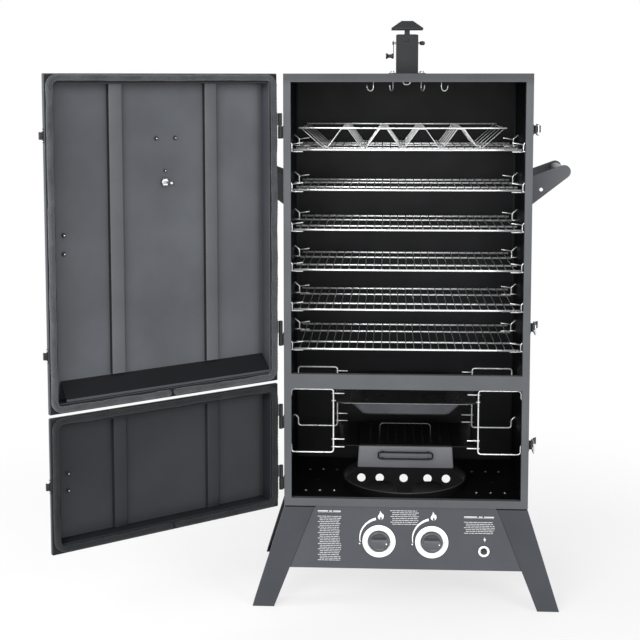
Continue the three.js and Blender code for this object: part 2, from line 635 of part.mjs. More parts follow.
// zigzag wires standing on the top rack, joined by rails at the top and rods below
const ribRack = () => {
  const low = floorZ + rackHeights[0] + 3 + gap + 1.6;
  const high = floorZ + 1001.5;
  const zigzag = [[-281, high]];
  for (const x of [-218, -115, -12, 90, 193]) {
    zigzag.push([x - 8, low], [x + 8, low]);
    if (x < 190) zigzag.push([x + 42, high - 1], [x + 61, high - 1]);
  }
  zigzag.push([256, high]);
  const front = frontY + 88;
  const back = frontY + 432;
  return union(
    ...[90, 260, 430].map((y) => wire(zigzag.map(([x, z]) => [x, frontY + y, z]), 1.8, 4)),
    ...[front, back].map((y) => wire([[-287, y, high], [262, y, high]], 2.4, 4)),
    ...[-218, -12, 193].map((x) => (
      wire([[x, front, low + 0.6], [x, back, low + 0.6]], 1.8, 4))));
};
add('rib_rack', ribRack(), chrome);

// ---------------------------------------------------------------- water pan and chip box
// sloped-side pan with a flat flange; mouth holds the limits of its top
const pan = (mouth, { rimZ, baseZ, slope, flangeX, flangeY }) => cut(
  union(
    frustum(inset(mouth, slope), mouth, baseZ, rimZ),
    plateXY(rect(...inset(mouth, -flangeX, -flangeY)),
      [rect(...inset(mouth, sheet))], rimZ - sheet, rimZ)),
  frustum(inset(mouth, slope + sheet), inset(mouth, 2), baseZ + sheet, rimZ + 0.01));
add('water_pan', pan([-148, 148, frontY + 48, frontY + 396], {
  rimZ: floorZ + 270, baseZ: floorZ + 229, slope: 30, flangeX: 42, flangeY: 3,
}), enamel);

// half-loop handles, their ends sunk in the sheet
const chipRimZ = floorZ + 142.5;
const chipMouth = [-129, 129, frontY + 87, frontY + 330];
const chipHandle = [[-60, 88], [-74, 78], [74, 78], [60, 88]]
  .map(([x, y]) => [x, frontY + y, floorZ + 117]);
add('chip_box', union(
  pan(chipMouth, {
    rimZ: chipRimZ, baseZ: floorZ + 80, slope: 0.5, flangeX: 60, flangeY: 0,
  }),
  wire(bend(chipHandle, 6, 2), 2.6, 6)), enamel);

const lidHoles = [-72, -36, 0, 36, 72].flatMap((x) => (
  [-68, -24, 24, 68].map((y) => circle(x, frontY + 208 + y, 5, 6))));
const lidHandle = [
  [-70, chipRimZ + 1], [-70, floorZ + 181], [70, floorZ + 181], [70, chipRimZ + 1],
].map(([x, z]) => [x, frontY + 176, z]);
add('chip_lid', union(
  plateXY(rect(...inset(chipMouth, 3)), lidHoles, chipRimZ + gap, chipRimZ + gap + sheet),
  wire(bend(lidHandle, 8, 2), 2, 5)), enamel);

// ---------------------------------------------------------------- gas train
const burnerX = 68;
const burnerHeadProfile = [[0, -48], [30, -48], [44, -38], [45, -17], [38, -10], [0, -9]];
const burnerTubeProfile = [[0, 0], [15, 0], [10, 22], [11, 60], [11, 158], [0, 158]];
const burner = (x) => {
  const neckTop = floorZ - 45;
  return cut(union(
    turned('z', x, 0, floorZ, burnerHeadProfile, 18),
    cylinder('z', x, 0, (neckTop + knobZ) / 2, 11, neckTop - knobZ + 22, 12),
    turned('y', x, frontY + 78, knobZ, burnerTubeProfile, 12)),
  cylinder('y', x, frontY + 84, knobZ, 8, 40, 12));
};
for (const [name, side] of sides) add(`burner_${name}`, burner(side * burnerX), darkPaint);

// body, outlet, hexagon and knob stem of one valve
const valve = (x) => [
  box(x - 11, x + 11, frontY + 12, frontY + 44, knobZ - 12, knobZ + 12),
  cylinder('y', x, frontY + 55, knobZ, 5, 30, 10),
  cylinder('y', x, frontY + 60, knobZ, 7.5, 10, 6),
  cylinder('y', x, frontY + 1, knobZ, 3, 32, 10),
];
add('gas_manifold', union(
  cylinder('x', 0, frontY + 34, knobZ - 16, 8, 200, 14),
  ...valve(-knobX),
  ...valve(knobX),
  cylinder('z', -94, frontY + 34, knobZ - 32, 7, 36, 12),
  cylinder('z', -94, frontY + 34, knobZ - 47, 10, 10, 6)), brass);

add('burner_bracket', union(
  plateXY(rect(-177, 177, -14, 14),
    [-burnerX, burnerX].map((x) => circle(x, 0, 12, 14)), floorZ - 50.6, floorZ - 48.6),
  ...[-1, 1].flatMap((side) => [
    sideBox(side, 175, 177, -14, 14, floorZ - 50, flangeZ),
    sideBox(side, 175, 200, -14, 14, flangeZ - 2, flangeZ),
  ])), steel);

// ---------------------------------------------------------------- controls
const knobProfile = [[0, -9], [25, -9], [28, -6], [28.5, 0], [0, 0]];
const knob = (x) => {
  const y = frontY - 2 - gap;
  // trims the ends of the finger bar to a round
  const trim = cut(
    cylinder('y', x, y - 15, knobZ, 60, 11.8, 20),
    cylinder('y', x, y - 15, knobZ, 25.5, 18, 20));
  return cut(union(
    turned('y', x, y, knobZ, knobProfile, 20),
    box(x - 24, x + 24, y - 22, y - 8, knobZ - 10.5, knobZ + 10.5)),
  cylinder('y', x, frontY - 9, knobZ, 3.5, 18, 10), trim);
};
for (const [name, side] of sides) add(`knob_${name}`, knob(side * knobX), black);

const igniterProfile = [[0, -7], [6, -7], [7.4, -5.5], [7.4, 22], [0, 22]];
add('igniter_button', turned('y', igniter.x, frontY, igniter.z, igniterProfile, 18), black);

// ---------------------------------------------------------------- origin
group.updateMatrixWorld(true);
const bounds = new THREE.Box3().setFromObject(group, true);
group.position.set(
  -(bounds.min.x + bounds.max.x) / 2, -(bounds.min.y + bounds.max.y) / 2, 0);
group.updateMatrixWorld(true);

export default group;
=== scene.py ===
import json
import math
import random
import bpy
import numpy as np
from mathutils import Matrix, Vector, noise
from mathutils.geometry import tessellate_polygon


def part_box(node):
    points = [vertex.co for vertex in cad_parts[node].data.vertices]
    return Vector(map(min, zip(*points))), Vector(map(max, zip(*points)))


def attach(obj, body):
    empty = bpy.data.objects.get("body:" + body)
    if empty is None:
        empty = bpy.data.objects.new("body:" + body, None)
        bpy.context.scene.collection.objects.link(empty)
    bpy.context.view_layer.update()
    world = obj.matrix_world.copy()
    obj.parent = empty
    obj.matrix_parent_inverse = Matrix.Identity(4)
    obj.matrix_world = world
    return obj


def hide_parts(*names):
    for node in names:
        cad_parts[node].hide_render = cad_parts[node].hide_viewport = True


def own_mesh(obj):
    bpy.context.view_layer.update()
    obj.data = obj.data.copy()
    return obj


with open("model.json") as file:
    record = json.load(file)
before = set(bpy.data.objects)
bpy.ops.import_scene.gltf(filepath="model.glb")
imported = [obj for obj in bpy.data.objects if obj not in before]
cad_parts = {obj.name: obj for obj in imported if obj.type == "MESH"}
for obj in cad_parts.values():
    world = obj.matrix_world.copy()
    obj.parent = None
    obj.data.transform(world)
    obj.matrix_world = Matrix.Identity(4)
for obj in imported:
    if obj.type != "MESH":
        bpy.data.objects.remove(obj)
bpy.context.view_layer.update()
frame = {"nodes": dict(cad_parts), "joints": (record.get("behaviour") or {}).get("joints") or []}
random.seed(11)

# ------------------------------------------------------------------ frame of the cabinet, in mm
_lo, _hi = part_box("front_frame")
CX, CY = (_lo.x + _hi.x) / 2 * 1000, _lo.y * 1000 + 226.0
YF, YB, Z0, ZT, W = -226.0, 226.0, 279.0, 1425.0, 645.0
joints = {j["name"]: j for j in frame["joints"]}
DOOR = math.radians(-joints["upper_door_swing"]["range_deg"][0])
PIN = (-330.5, YF - 2.5)
DL, DR = -322.0, 320.0
DY1, DY0 = YF - 4, YF - 44
RACK_Z = [945, 838, 731, 623, 515.5, 408]
LATCH_Z = [1001.5, 483, 168]
HINGE_Z = [("upper_hinge_top", 1011), ("upper_hinge_bottom", 466), ("lower_hinge_top", 243), ("lower_hinge_bottom", 78)]
I4 = Matrix.Identity(4)
SWING = Matrix.Translation((PIN[0], PIN[1], 0)) @ Matrix.Rotation(-DOOR, 4, "Z") @ Matrix.Translation((-PIN[0], -PIN[1], 0))


# ------------------------------------------------------------------ materials
def tree(name):
    m = bpy.data.materials.new(name)
    m.use_nodes = True
    t = m.node_tree
    t.nodes.clear()
    out = t.nodes.new("ShaderNodeOutputMaterial")
    bsdf = t.nodes.new("ShaderNodeBsdfPrincipled")
    t.links.new(bsdf.outputs[0], out.inputs[0])
    return m, t, bsdf


def N(t, kind, **values):
    n = t.nodes.new("ShaderNode" + kind)
    for k, v in values.items():
        if k.startswith("_"):
            setattr(n, k[1:], v)
        else:
            n.inputs[k.replace("_", " ")].default_value = v
    return n


def coord(t):
    return t.nodes.new("ShaderNodeTexCoord").outputs["Object"]


def noise_tex(t, scale, detail=3.0, rough=0.55, vec=None):
    n = N(t, "TexNoise", Scale=scale, Detail=detail, Roughness=rough)
    t.links.new(vec or coord(t), n.inputs["Vector"])
    return n


def ramp(t, src, stops):
    r = t.nodes.new("ShaderNodeValToRGB")
    e = r.color_ramp.elements
    while len(e) > 1:
        e.remove(e[-1])
    e[0].position, e[0].color = stops[0][0], (*[stops[0][1]] * 3, 1) if not isinstance(stops[0][1], tuple) else (*stops[0][1], 1)
    for p, c in stops[1:]:
        k = e.new(p)
        k.color = (*[c] * 3, 1) if not isinstance(c, tuple) else (*c, 1)
    t.links.new(src, r.inputs[0])
    return r.outputs[0]


def mixc(t, fac, a, b, mode="MIX"):
    m = t.nodes.new("ShaderNodeMix")
    m.data_type, m.blend_type = "RGBA", mode
    for sock, v in ((m.inputs[0], fac), (m.inputs[6], a), (m.inputs[7], b)):
        if isinstance(v, bpy.types.NodeSocket):
            t.links.new(v, sock)
        elif isinstance(v, tuple):
            sock.default_value = (*v, 1)
        else:
            sock.default_value = v
    return m.outputs[2]


def bump(t, src, dist, strength=1.0, normal=None):
    b = N(t, "Bump", Distance=dist, Strength=strength)
    t.links.new(src, b.inputs["Height"])
    if normal is not None:
        t.links.new(normal, b.inputs["Normal"])
    return b.outputs[0]


def mathn(t, op, a, b=None):
    m = t.nodes.new("ShaderNodeMath")
    m.operation = op
    for i, v in enumerate((a, b)):
        if v is None:
            continue
        if isinstance(v, bpy.types.NodeSocket):
            t.links.new(v, m.inputs[i])
        else:
            m.inputs[i].default_value = v
    return m.outputs[0]


def powder(name, base, light=1.25, rough=0.5, grain=0.00012, fleck=0.5, spec=0.45, cloud=0.10, wear=0.35, corner_shade=0.0, top_shade=None):
    """Fine-textured powder coat: sandy grain, faint cloudiness, pale flecks and slightly burnished edges, with optional
    painted shade in corners and recesses and optional painted shade above a given height.
    """
    m, t, s = tree(name)
    c = coord(t)
    fine = noise_tex(t, 2600, 2, 0.6, c)
    mid = noise_tex(t, 700, 3, 0.6, c)
    big = noise_tex(t, 5.5, 4, 0.6, c)
    dark = tuple(x * (1 - cloud) for x in base)
    lite = tuple(x * (1 + cloud) for x in base)
    col = mixc(t, ramp(t, big.outputs[0], [(0.32, 0.0), (0.68, 1.0)]), dark, lite)
    col = mixc(t, ramp(t, mid.outputs[0], [(0.35, 0.0), (0.75, 0.35)]), col, tuple(x * light for x in base))
    flecks = ramp(t, fine.outputs[0], [(0.66, 0.0), (0.74, fleck)])
    col = mixc(t, flecks, col, tuple(min(1, x * 2.4 + 0.02) for x in base))
    if wear:
        bev = N(t, "Bevel", Radius=0.0016)
        bev.samples = 2
        geo = t.nodes.new("ShaderNodeNewGeometry")
        dot = t.nodes.new("ShaderNodeVectorMath")
        dot.operation = "DOT_PRODUCT"
        t.links.new(bev.outputs[0], dot.inputs[0])
        t.links.new(geo.outputs["Normal"], dot.inputs[1])
        edge = ramp(t, mathn(t, "MULTIPLY", mathn(t, "SUBTRACT", 1.0, dot.outputs["Value"]), 4.0), [(0.05, 0.0), (0.9, wear)])
        scuff = ramp(t, noise_tex(t, 130, 4, 0.7, c).outputs[0], [(0.38, 0.25), (0.62, 1.0)])
        col = mixc(t, mathn(t, "MULTIPLY", edge, scuff), col, tuple(min(1, x * 2.1 + 0.03) for x in base))
    if corner_shade:
        # painted shade: colour darkened in the corners and recesses that ambient occlusion finds
        ao = t.nodes.new("ShaderNodeAmbientOcclusion")
        ao.samples = 6
        ao.inputs["Distance"].default_value = 0.032
        corner_shade_mask = ramp(t, ao.outputs["AO"], [(0.45, corner_shade), (0.97, 0.0)])
        col = mixc(t, corner_shade_mask, col, tuple(x * 0.12 for x in base))
    if top_shade:
        # painted shade: colour darkened above a given height, from the first to the second height by up to the third
        # value
        geo2 = t.nodes.new("ShaderNodeNewGeometry")
        sep = t.nodes.new("ShaderNodeSeparateXYZ")
        t.links.new(geo2.outputs["Position"], sep.inputs[0])
        mr = N(t, "MapRange")
        for k, v in ((1, top_shade[0]), (2, top_shade[1]), (3, 0.0), (4, top_shade[2])):
            mr.inputs[k].default_value = v
        t.links.new(sep.outputs[2], mr.inputs[0])
        col = mixc(t, mr.outputs[0], col, tuple(x * 0.1 for x in base))
    t.links.new(col, s.inputs["Base Color"])
    t.links.new(ramp(t, big.outputs[0], [(0.3, rough + 0.06), (0.7, rough - 0.05)]), s.inputs["Roughness"])
    s.inputs["Specular IOR Level"].default_value = spec
    h = mathn(t, "ADD", fine.outputs[0], mathn(t, "MULTIPLY", mid.outputs[0], 1.6))
    t.links.new(bump(t, h, grain, 0.9), s.inputs["Normal"])
    return m


def plated(name, base, rough=0.16, metallic=1.0, stain=0.5):
    """Bright plated steel with faint draw lines and dull patches."""
    m, t, s = tree(name)
    c = coord(t)
    streak = noise_tex(t, 900, 3, 0.6, c)
    patch = noise_tex(t, 60, 4, 0.65, c)
    col = mixc(t, ramp(t, patch.outputs[0], [(0.35, 0.0), (0.75, stain)]), base, tuple(x * 0.72 for x in base))
    t.links.new(col, s.inputs["Base Color"])
    s.inputs["Metallic"].default_value = metallic
    t.links.new(ramp(t, patch.outputs[0], [(0.3, rough), (0.75, rough + 0.14)]), s.inputs["Roughness"])
    t.links.new(bump(t, streak.outputs[0], 0.00003, 0.8), s.inputs["Normal"])
    return m


def enamel(name, base, rough=0.22, coat=0.4, peel=0.00018, spot=0.25):
    """Vitreous enamel: wet gloss over a faint orange peel, with dull dusty patches."""
    m, t, s = tree(name)
    c = coord(t)
    wave = noise_tex(t, 210, 2, 0.5, c)
    patch = noise_tex(t, 14, 5, 0.65, c)
    speck = noise_tex(t, 1500, 1, 0.5, c)
    col = mixc(t, ramp(t, patch.outputs[0], [(0.4, 0.0), (0.75, 0.6)]), base, tuple(x * 1.6 + 0.003 for x in base))
    col = mixc(t, ramp(t, speck.outputs[0], [(0.70, 0.0), (0.76, spot)]), col, (0.16, 0.16, 0.165))
    t.links.new(col, s.inputs["Base Color"])
    t.links.new(ramp(t, patch.outputs[0], [(0.3, rough), (0.75, rough + 0.2)]), s.inputs["Roughness"])
    s.inputs["Coat Weight"].default_value = coat
    s.inputs["Coat Roughness"].default_value = 0.12
    t.links.new(bump(t, wave.outputs[0], peel, 0.7), s.inputs["Normal"])
    return m


def moulded(name, base, rough=0.5, grain=0.00006, spec=0.5):
    """Moulded plastic with a fine spark-eroded grain."""
    m, t, s = tree(name)
    c = coord(t)
    g = noise_tex(t, 1900, 3, 0.6, c)
    big = noise_tex(t, 40, 3, 0.5, c)
    col = mixc(t, ramp(t, big.outputs[0], [(0.3, 0.0), (0.7, 1.0)]), tuple(x * 0.9 for x in base), tuple(x * 1.12 for x in base))
    t.links.new(col, s.inputs["Base Color"])
    t.links.new(ramp(t, g.outputs[0], [(0.3, rough + 0.06), (0.7, rough - 0.06)]), s.inputs["Roughness"])
    t.links.new(bump(t, g.outputs[0], grain, 0.8), s.inputs["Normal"])
    s.inputs["Specular IOR Level"].default_value = spec
    return m


def woven_rope(name, shade_scale=1.0):
    """Braided glass-fibre rope: fuzzy charcoal yarn with paler broken filaments."""
    m, t, s = tree(name)
    c = coord(t)
    fibre = noise_tex(t, 950, 5, 0.75, c)
    hair = noise_tex(t, 2600, 3, 0.7, c)
    patch = noise_tex(t, 22, 4, 0.6, c)
    # a scale below 1 darkens every colour and the sheen: a darker copy of the rope as painted shade
    col = mixc(t, ramp(t, patch.outputs[0], [(0.3, 0.0), (0.72, 1.0)]), tuple(x * shade_scale for x in (0.015, 0.0163, 0.0185)), tuple(x * shade_scale for x in (0.046, 0.049, 0.055)))
    col = mixc(t, ramp(t, fibre.outputs[0], [(0.47, 0.0), (0.74, 0.8)]), col, tuple(x * shade_scale for x in (0.17, 0.178, 0.19)))
    col = mixc(t, ramp(t, hair.outputs[0], [(0.66, 0.0), (0.75, 0.6)]), col, tuple(x * shade_scale for x in (0.36, 0.37, 0.385)))
    t.links.new(col, s.inputs["Base Color"])
    s.inputs["Roughness"].default_value = 1.0
    s.inputs["Specular IOR Level"].default_value = 0.15
    s.inputs["Sheen Weight"].default_value = 0.22 * shade_scale
    s.inputs["Sheen Roughness"].default_value = 0.5
    h = mathn(t, "ADD", fibre.outputs[0], mathn(t, "MULTIPLY", hair.outputs[0], 0.5))
    t.links.new(bump(t, h, 0.0011, 1.0), s.inputs["Normal"])
    return m


PAINT = powder("coat_charcoal", (0.066, 0.070, 0.0765), rough=0.55, spec=0.28)
PANEL = powder("coat_base", (0.052, 0.0555, 0.063), rough=0.54, spec=0.26)
LEGM = powder("coat_leg", (0.038, 0.041, 0.0475), rough=0.56, spec=0.22)
FLUE = powder("coat_flue", (0.0155, 0.0165, 0.0185), rough=0.55, spec=0.22)
# door coat with painted shade darkening its corners and recesses
DOORM = powder("coat_door", (0.0475, 0.0515, 0.0585), rough=0.52, cloud=0.14, spec=0.30, corner_shade=0.85)
# frame coat with painted shade darkening its top band
FRAME_TOP_SHADED = powder("coat_frame_top_shaded", (0.066, 0.070, 0.0765), rough=0.55, spec=0.28, top_shade=(1.392, 1.412, 0.42))
# near-black painted shade: the door lip under the rope, the sides of the ribs and the joints between the base panel and
# the front legs
SHADE_BLACK = powder("painted_shade_black", (0.010, 0.0105, 0.012), rough=0.6, fleck=0.2, spec=0.12, wear=0.0)
# lighter copy of the door coat for the rib tops and the lip's inner edge on the upper door: painted highlight
RIB_LIT = powder("coat_rib_lit", (0.060, 0.0635, 0.070), rough=0.52, cloud=0.12, spec=0.32)
# darker copy of the door coat for the lower door: painted shade, with more painted shade in its corners
DOOR_LOWER_SHADED = powder("coat_lower_door_shaded", (0.0135, 0.0150, 0.0178), rough=0.48, cloud=0.14, spec=0.24, light=1.18, corner_shade=0.8)
DARK = powder("coat_dark", (0.014, 0.0145, 0.016), rough=0.45, fleck=0.3, spec=0.25)
# near-black coat for the top of the drip ledge: painted shade
LEDGE_TOP_SHADE = powder("coat_ledge", (0.0075, 0.0078, 0.009), rough=0.5, fleck=0.2, spec=0.14)
LEDGEF = powder("coat_ledge_front", (0.036, 0.038, 0.043), rough=0.45, fleck=0.4, spec=0.3)
# near-black coat on every inward-facing sheet: partly the blackened inside, partly painted shade
INSIDE_BLACK_SHADE = powder("coat_inside_black_and_shade", (0.0036, 0.0039, 0.0050), rough=0.46, fleck=0.12, wear=0, spec=0.12, cloud=0.25)
# near-black firebox coat: partly its black finish, partly painted shade
FIREBOX_BLACK_SHADE = powder("coat_firebox_black_and_shade", (0.0035, 0.0035, 0.0038), rough=0.40, fleck=0.12, wear=0.25, spec=0.16, cloud=0.25)
# lighter coat for the rolled top lip of the floor collar: painted highlight
COLLAR_LIT = powder("coat_collar_lit", (0.026, 0.027, 0.029), rough=0.34, fleck=0.2, wear=0.4, spec=0.5, cloud=0.2)
CHROME = plated("chrome_plate", (0.88, 0.885, 0.89), rough=0.24, metallic=0.72, stain=0.3)
# dimmer copy of the chrome plating for the cross wires, meat hooks and rib-rack zigzags: painted shade
CHROME_SHADED = plated("chrome_shaded", (0.58, 0.584, 0.59), rough=0.26, metallic=0.85, stain=0.45)
ZINC = plated("zinc_plate", (0.62, 0.63, 0.65), rough=0.28)
ENAMEL = enamel("enamel_black", (0.010, 0.010, 0.011))
TRAY = powder("tray_satin", (0.085, 0.087, 0.094), rough=0.36, wear=0.7, cloud=0.2)
# lighter copy of the pan enamel for its sloped front face: painted highlight
PAN_FRONT_LIT = enamel("enamel_pan_front_lit", (0.056, 0.059, 0.066), rough=0.34, coat=0.2, spot=0.15)
TRAYD = powder("tray_lid", (0.0035, 0.0035, 0.004), rough=0.36, wear=0.4, cloud=0.2, spec=0.16, fleck=0.2)
ROPE = woven_rope("rope_gasket")
# darker copy of the rope for the lower door: painted shade
ROPE_SHADED = woven_rope("rope_gasket_lower_shaded", 0.36)
KNOB = moulded("knob_plastic", (0.060, 0.063, 0.070), rough=0.42)
BLACK = moulded("black_plastic", (0.016, 0.016, 0.018), rough=0.46)
SLEEVE = moulded("grip_sleeve", (0.58, 0.60, 0.63), rough=0.34, grain=0.00003)
WHITE = moulded("scale_white", (0.86, 0.87, 0.88), rough=0.33, grain=0.00002)
PRINT = moulded("print_white", (0.80, 0.81, 0.82), rough=0.5, grain=0.00002)
NOTE = moulded("print_grey", (0.60, 0.61, 0.62), rough=0.55, grain=0.00002)
BRASS = plated("brass_turned", (0.66, 0.50, 0.22), rough=0.25)
IRON = powder("cast_iron", (0.010, 0.0098, 0.0095), rough=0.75, grain=0.0006, fleck=0.2, wear=0.5)
DIALF = moulded("dial_face", (0.36, 0.36, 0.35), rough=0.6, grain=0.00001, spec=0.05)
INK = moulded("dial_ink", (0.01, 0.01, 0.01), rough=0.6, grain=0.00001, spec=0.02)
RED = moulded("needle_red", (0.36, 0.02, 0.015), rough=0.5, grain=0.00001, spec=0.05)


def glass_mat():
    m, t, s = tree("dial_glass")
    s.inputs["Base Color"].default_value = (1, 1, 1, 1)
    s.inputs["Transmission Weight"].default_value = 1.0
    s.inputs["IOR"].default_value = 1.12
    t.links.new(ramp(t, noise_tex(t, 90, 3).outputs[0], [(0.4, 0.02), (0.8, 0.09)]), s.inputs["Roughness"])
    return m


GLASS = glass_mat()


# ------------------------------------------------------------------ mesh building, in mm
class Mesh:
    def __init__(self):
        self.v, self.f, self.s, self.m = [], [], [], []

    def add(self, verts, faces, smooth=True, mat=0):
        n = len(self.v)
        self.v += [tuple(p) for p in verts]
        self.f += [tuple(i + n for i in f) for f in faces]
        self.s += [smooth] * len(faces)
        self.m += [mat] * len(faces)
        return self

    def box(self, x0, x1, y0, y1, z0, z1, mat=0, r=0.0, xf=None):
        """A box; with r its edges are rounded off by two facets."""
        if r <= 0:
            v = [(x, y, z) for z in (z0, z1) for y in (y0, y1) for x in (x0, x1)]
            f = [(0, 2, 3, 1), (4, 5, 7, 6), (0, 1, 5, 4), (2, 6, 7, 3), (0, 4, 6, 2), (1, 3, 7, 5)]
            if xf:
                v = [tuple(xf @ Vector(p)) for p in v]
            return self.add(v, f, False, mat)
        r = min(r, (x1 - x0) / 2.01, (y1 - y0) / 2.01, (z1 - z0) / 2.01)
        loops = []
        k = [(0.0, 1.0), (0.293, 0.293), (1.0, 0.0)]  # inset along z, inset of outline
        for dz, d in k:
            loops.append((z0 + dz * r, d * r))
        for dz, d in reversed(k):
            loops.append((z1 - dz * r, d * r))
        rings = []
        for z, d in loops:
            rings.append([(px, py, z) for px, py in rounded(x0 + d, x1 - d, y0 + d, y1 - d, max(r - d, 0) + r * 0.3, 2)])
        return self.loft(rings, True, mat, xf)

    def loft(self, rings, caps=True, mat=0, xf=None, closed=False, smooth=True):
        """Joins rings of equal length; caps fill the first and last."""
        n = len(rings[0])
        v = [p for r in rings for p in r]
        if xf:
            v = [tuple(xf @ Vector(p)) for p in v]
        f = []
        m = len(rings)
        for i in range(m if closed else m - 1):
            a, b = i * n, ((i + 1) % m) * n
            for j in range(n):
                k = (j + 1) % n
                f.append((a + j, a + k, b + k, b + j))
        if caps and not closed:
            f.append(tuple(range(n))[::-1])
            f.append(tuple((m - 1) * n + j for j in range(n)))
        return self.add(v, f, smooth, mat)

    def tube(self, pts, r, n=10, closed=False, mat=0, dome=True, twist=None):
        P = [Vector(p) for p in pts]
        N_ = len(P)
        if closed:
            d = (P[0] - P[-1]).normalized()
        else:
            d = (P[1] - P[0]).normalized()
        ref = Vector((0, 0, 1)) if abs(d.z) < 0.8 else Vector((1, 0, 0))
        ref = (ref - d * ref.dot(d)).normalized()
        rings = []
        for i in range(N_):
            a = P[(i - 1) % N_] if closed or i else P[0]
            b = P[(i + 1) % N_] if closed or i < N_ - 1 else P[-1]
            u = (P[i] - a).normalized() if (P[i] - a).length > 1e-9 else (b - P[i]).normalized()
            w = (b - P[i]).normalized() if (b - P[i]).length > 1e-9 else u
            t = (u + w).normalized()
            ref = d.rotation_difference(u) @ ref
            d = u
            side = u.cross(ref)
            ri = r(i) if callable(r) else r
            ring = []
            for k in range(n):
                an = 2 * math.pi * k / n
                o = ref * (ri * math.cos(an)) + side * (ri * math.sin(an))
                ring.append(P[i] + o - u * (o.dot(t) / max(u.dot(t), 0.3)))
            rings.append(ring)
        if closed:
            best = min(range(n), key=lambda c: sum((rings[-1][k] - rings[0][(k + c) % n]).length for k in range(n)))
            v = [tuple(p) for ring in rings for p in ring]
            f = []
            for i in range(N_):
                j = (i + 1) % N_
                c = best if j == 0 else 0
                for k in range(n):
                    f.append((i * n + k, i * n + (k + 1) % n, j * n + (k + 1 + c) % n, j * n + (k + c) % n))
            return self.add(v, f, True, mat)
        if dome:
            def end(ring, c, dirn, rr):
                out = []
                for s, h in ((0.75, 0.32), (0.35, 0.5)):
                    out.append([c + (p - c) * s + dirn * (rr * h) for p in ring])
                return out
            r0 = r(0) if callable(r) else r
            r1 = r(N_ - 1) if callable(r) else r
            head = end(rings[0], P[0], (P[0] - P[1]).normalized(), r0)
            tail = end(rings[-1], P[-1], (P[-1] - P[-2]).normalized(), r1)
            rings = head[::-1] + rings + tail
        return self.loft([[tuple(p) for p in ring] for ring in rings], True, mat)

    def lathe(self, axis, x, y, z, profile, n=40, mat=0, xf=None):
        """profile of (radius, along); starts and ends on the axis or closes on itself."""
        rings, closed = [], profile[0][0] > 1e-6
        basis = {"x": ((0, 1, 0), (0, 0, 1), (1, 0, 0)), "y": ((0, 0, 1), (1, 0, 0), (0, 1, 0)), "z": ((1, 0, 0), (0, 1, 0), (0, 0, 1))}[axis]
        A, B, C = (Vector(q) for q in basis)
        o = Vector((x, y, z))
        v, f, idx = [], [], []
        for r_, a in profile:
            if r_ < 1e-6:
                idx.append([len(v)])
                v.append(o + C * a)
            else:
                idx.append(list(range(len(v), len(v) + n)))
                for k in range(n):
                    an = 2 * math.pi * k / n
                    v.append(o + A * (r_ * math.cos(an)) + B * (r_ * math.sin(an)) + C * a)
        pairs = list(zip(idx, idx[1:])) + ([(idx[-1], idx[0])] if closed else [])
        for p, q in pairs:
            for k in range(n):
                k2 = (k + 1) % n
                if len(p) == 1 and len(q) == 1:
                    continue
                if len(p) == 1:
                    f.append((p[0], q[k2], q[k]))
                elif len(q) == 1:
                    f.append((p[k], p[k2], q[0]))
                else:
                    f.append((p[k], p[k2], q[k2], q[k]))
        if xf:
            v = [xf @ p for p in v]
        return self.add(v, f, True, mat)

    def cyl(self, axis, x, y, z, r, length, n=28, mat=0, c=None, xf=None):
        c = min(0.5, r * 0.25, length * 0.25) if c is None else c
        h = length / 2
        return self.lathe(axis, x, y, z, [(0, -h), (r - c, -h), (r, -h + c), (r, h - c), (r - c, h), (0, h)], n, mat, xf)

    def plate(self, outline, holes, a0, a1, plane="XZ", mat=0, xf=None):
        """A flat sheet with holes between a0 and a1 along the third axis."""
        def area(p):
            return sum(p[i][0] * p[(i + 1) % len(p)][1] - p[(i + 1) % len(p)][0] * p[i][1] for i in range(len(p)))
        outline = outline if area(outline) > 0 else outline[::-1]
        holes = [h if area(h) < 0 else h[::-1] for h in holes]
        loops = [outline] + holes
        flat = [p for l in loops for p in l]
        tris = tessellate_polygon([[Vector((p[0], p[1], 0)) for p in l] for l in loops])
        place = {"XZ": lambda p, a: (p[0], a, p[1]), "XY": lambda p, a: (p[0], p[1], a), "YZ": lambda p, a: (a, p[0], p[1])}[plane]
        n = len(flat)
        v = [place(p, a0) for p in flat] + [place(p, a1) for p in flat]
        if xf:
            v = [tuple(xf @ Vector(p)) for p in v]
        f = []
        for t in tris:
            p, q, r_ = (flat[i] for i in t)
            ccw = (q[0] - p[0]) * (r_[1] - p[1]) - (r_[0] - p[0]) * (q[1] - p[1]) > 0
            t = tuple(t) if ccw else tuple(t)[::-1]
            f.append(t[::-1])
            f.append(tuple(i + n for i in t))
        s = 0
        for l in loops:
            for i in range(len(l)):
                j = (i + 1) % len(l)
                f.append((s + i, s + j, n + s + j, n + s + i))
            s += len(l)
        return self.add(v, f, False, mat)

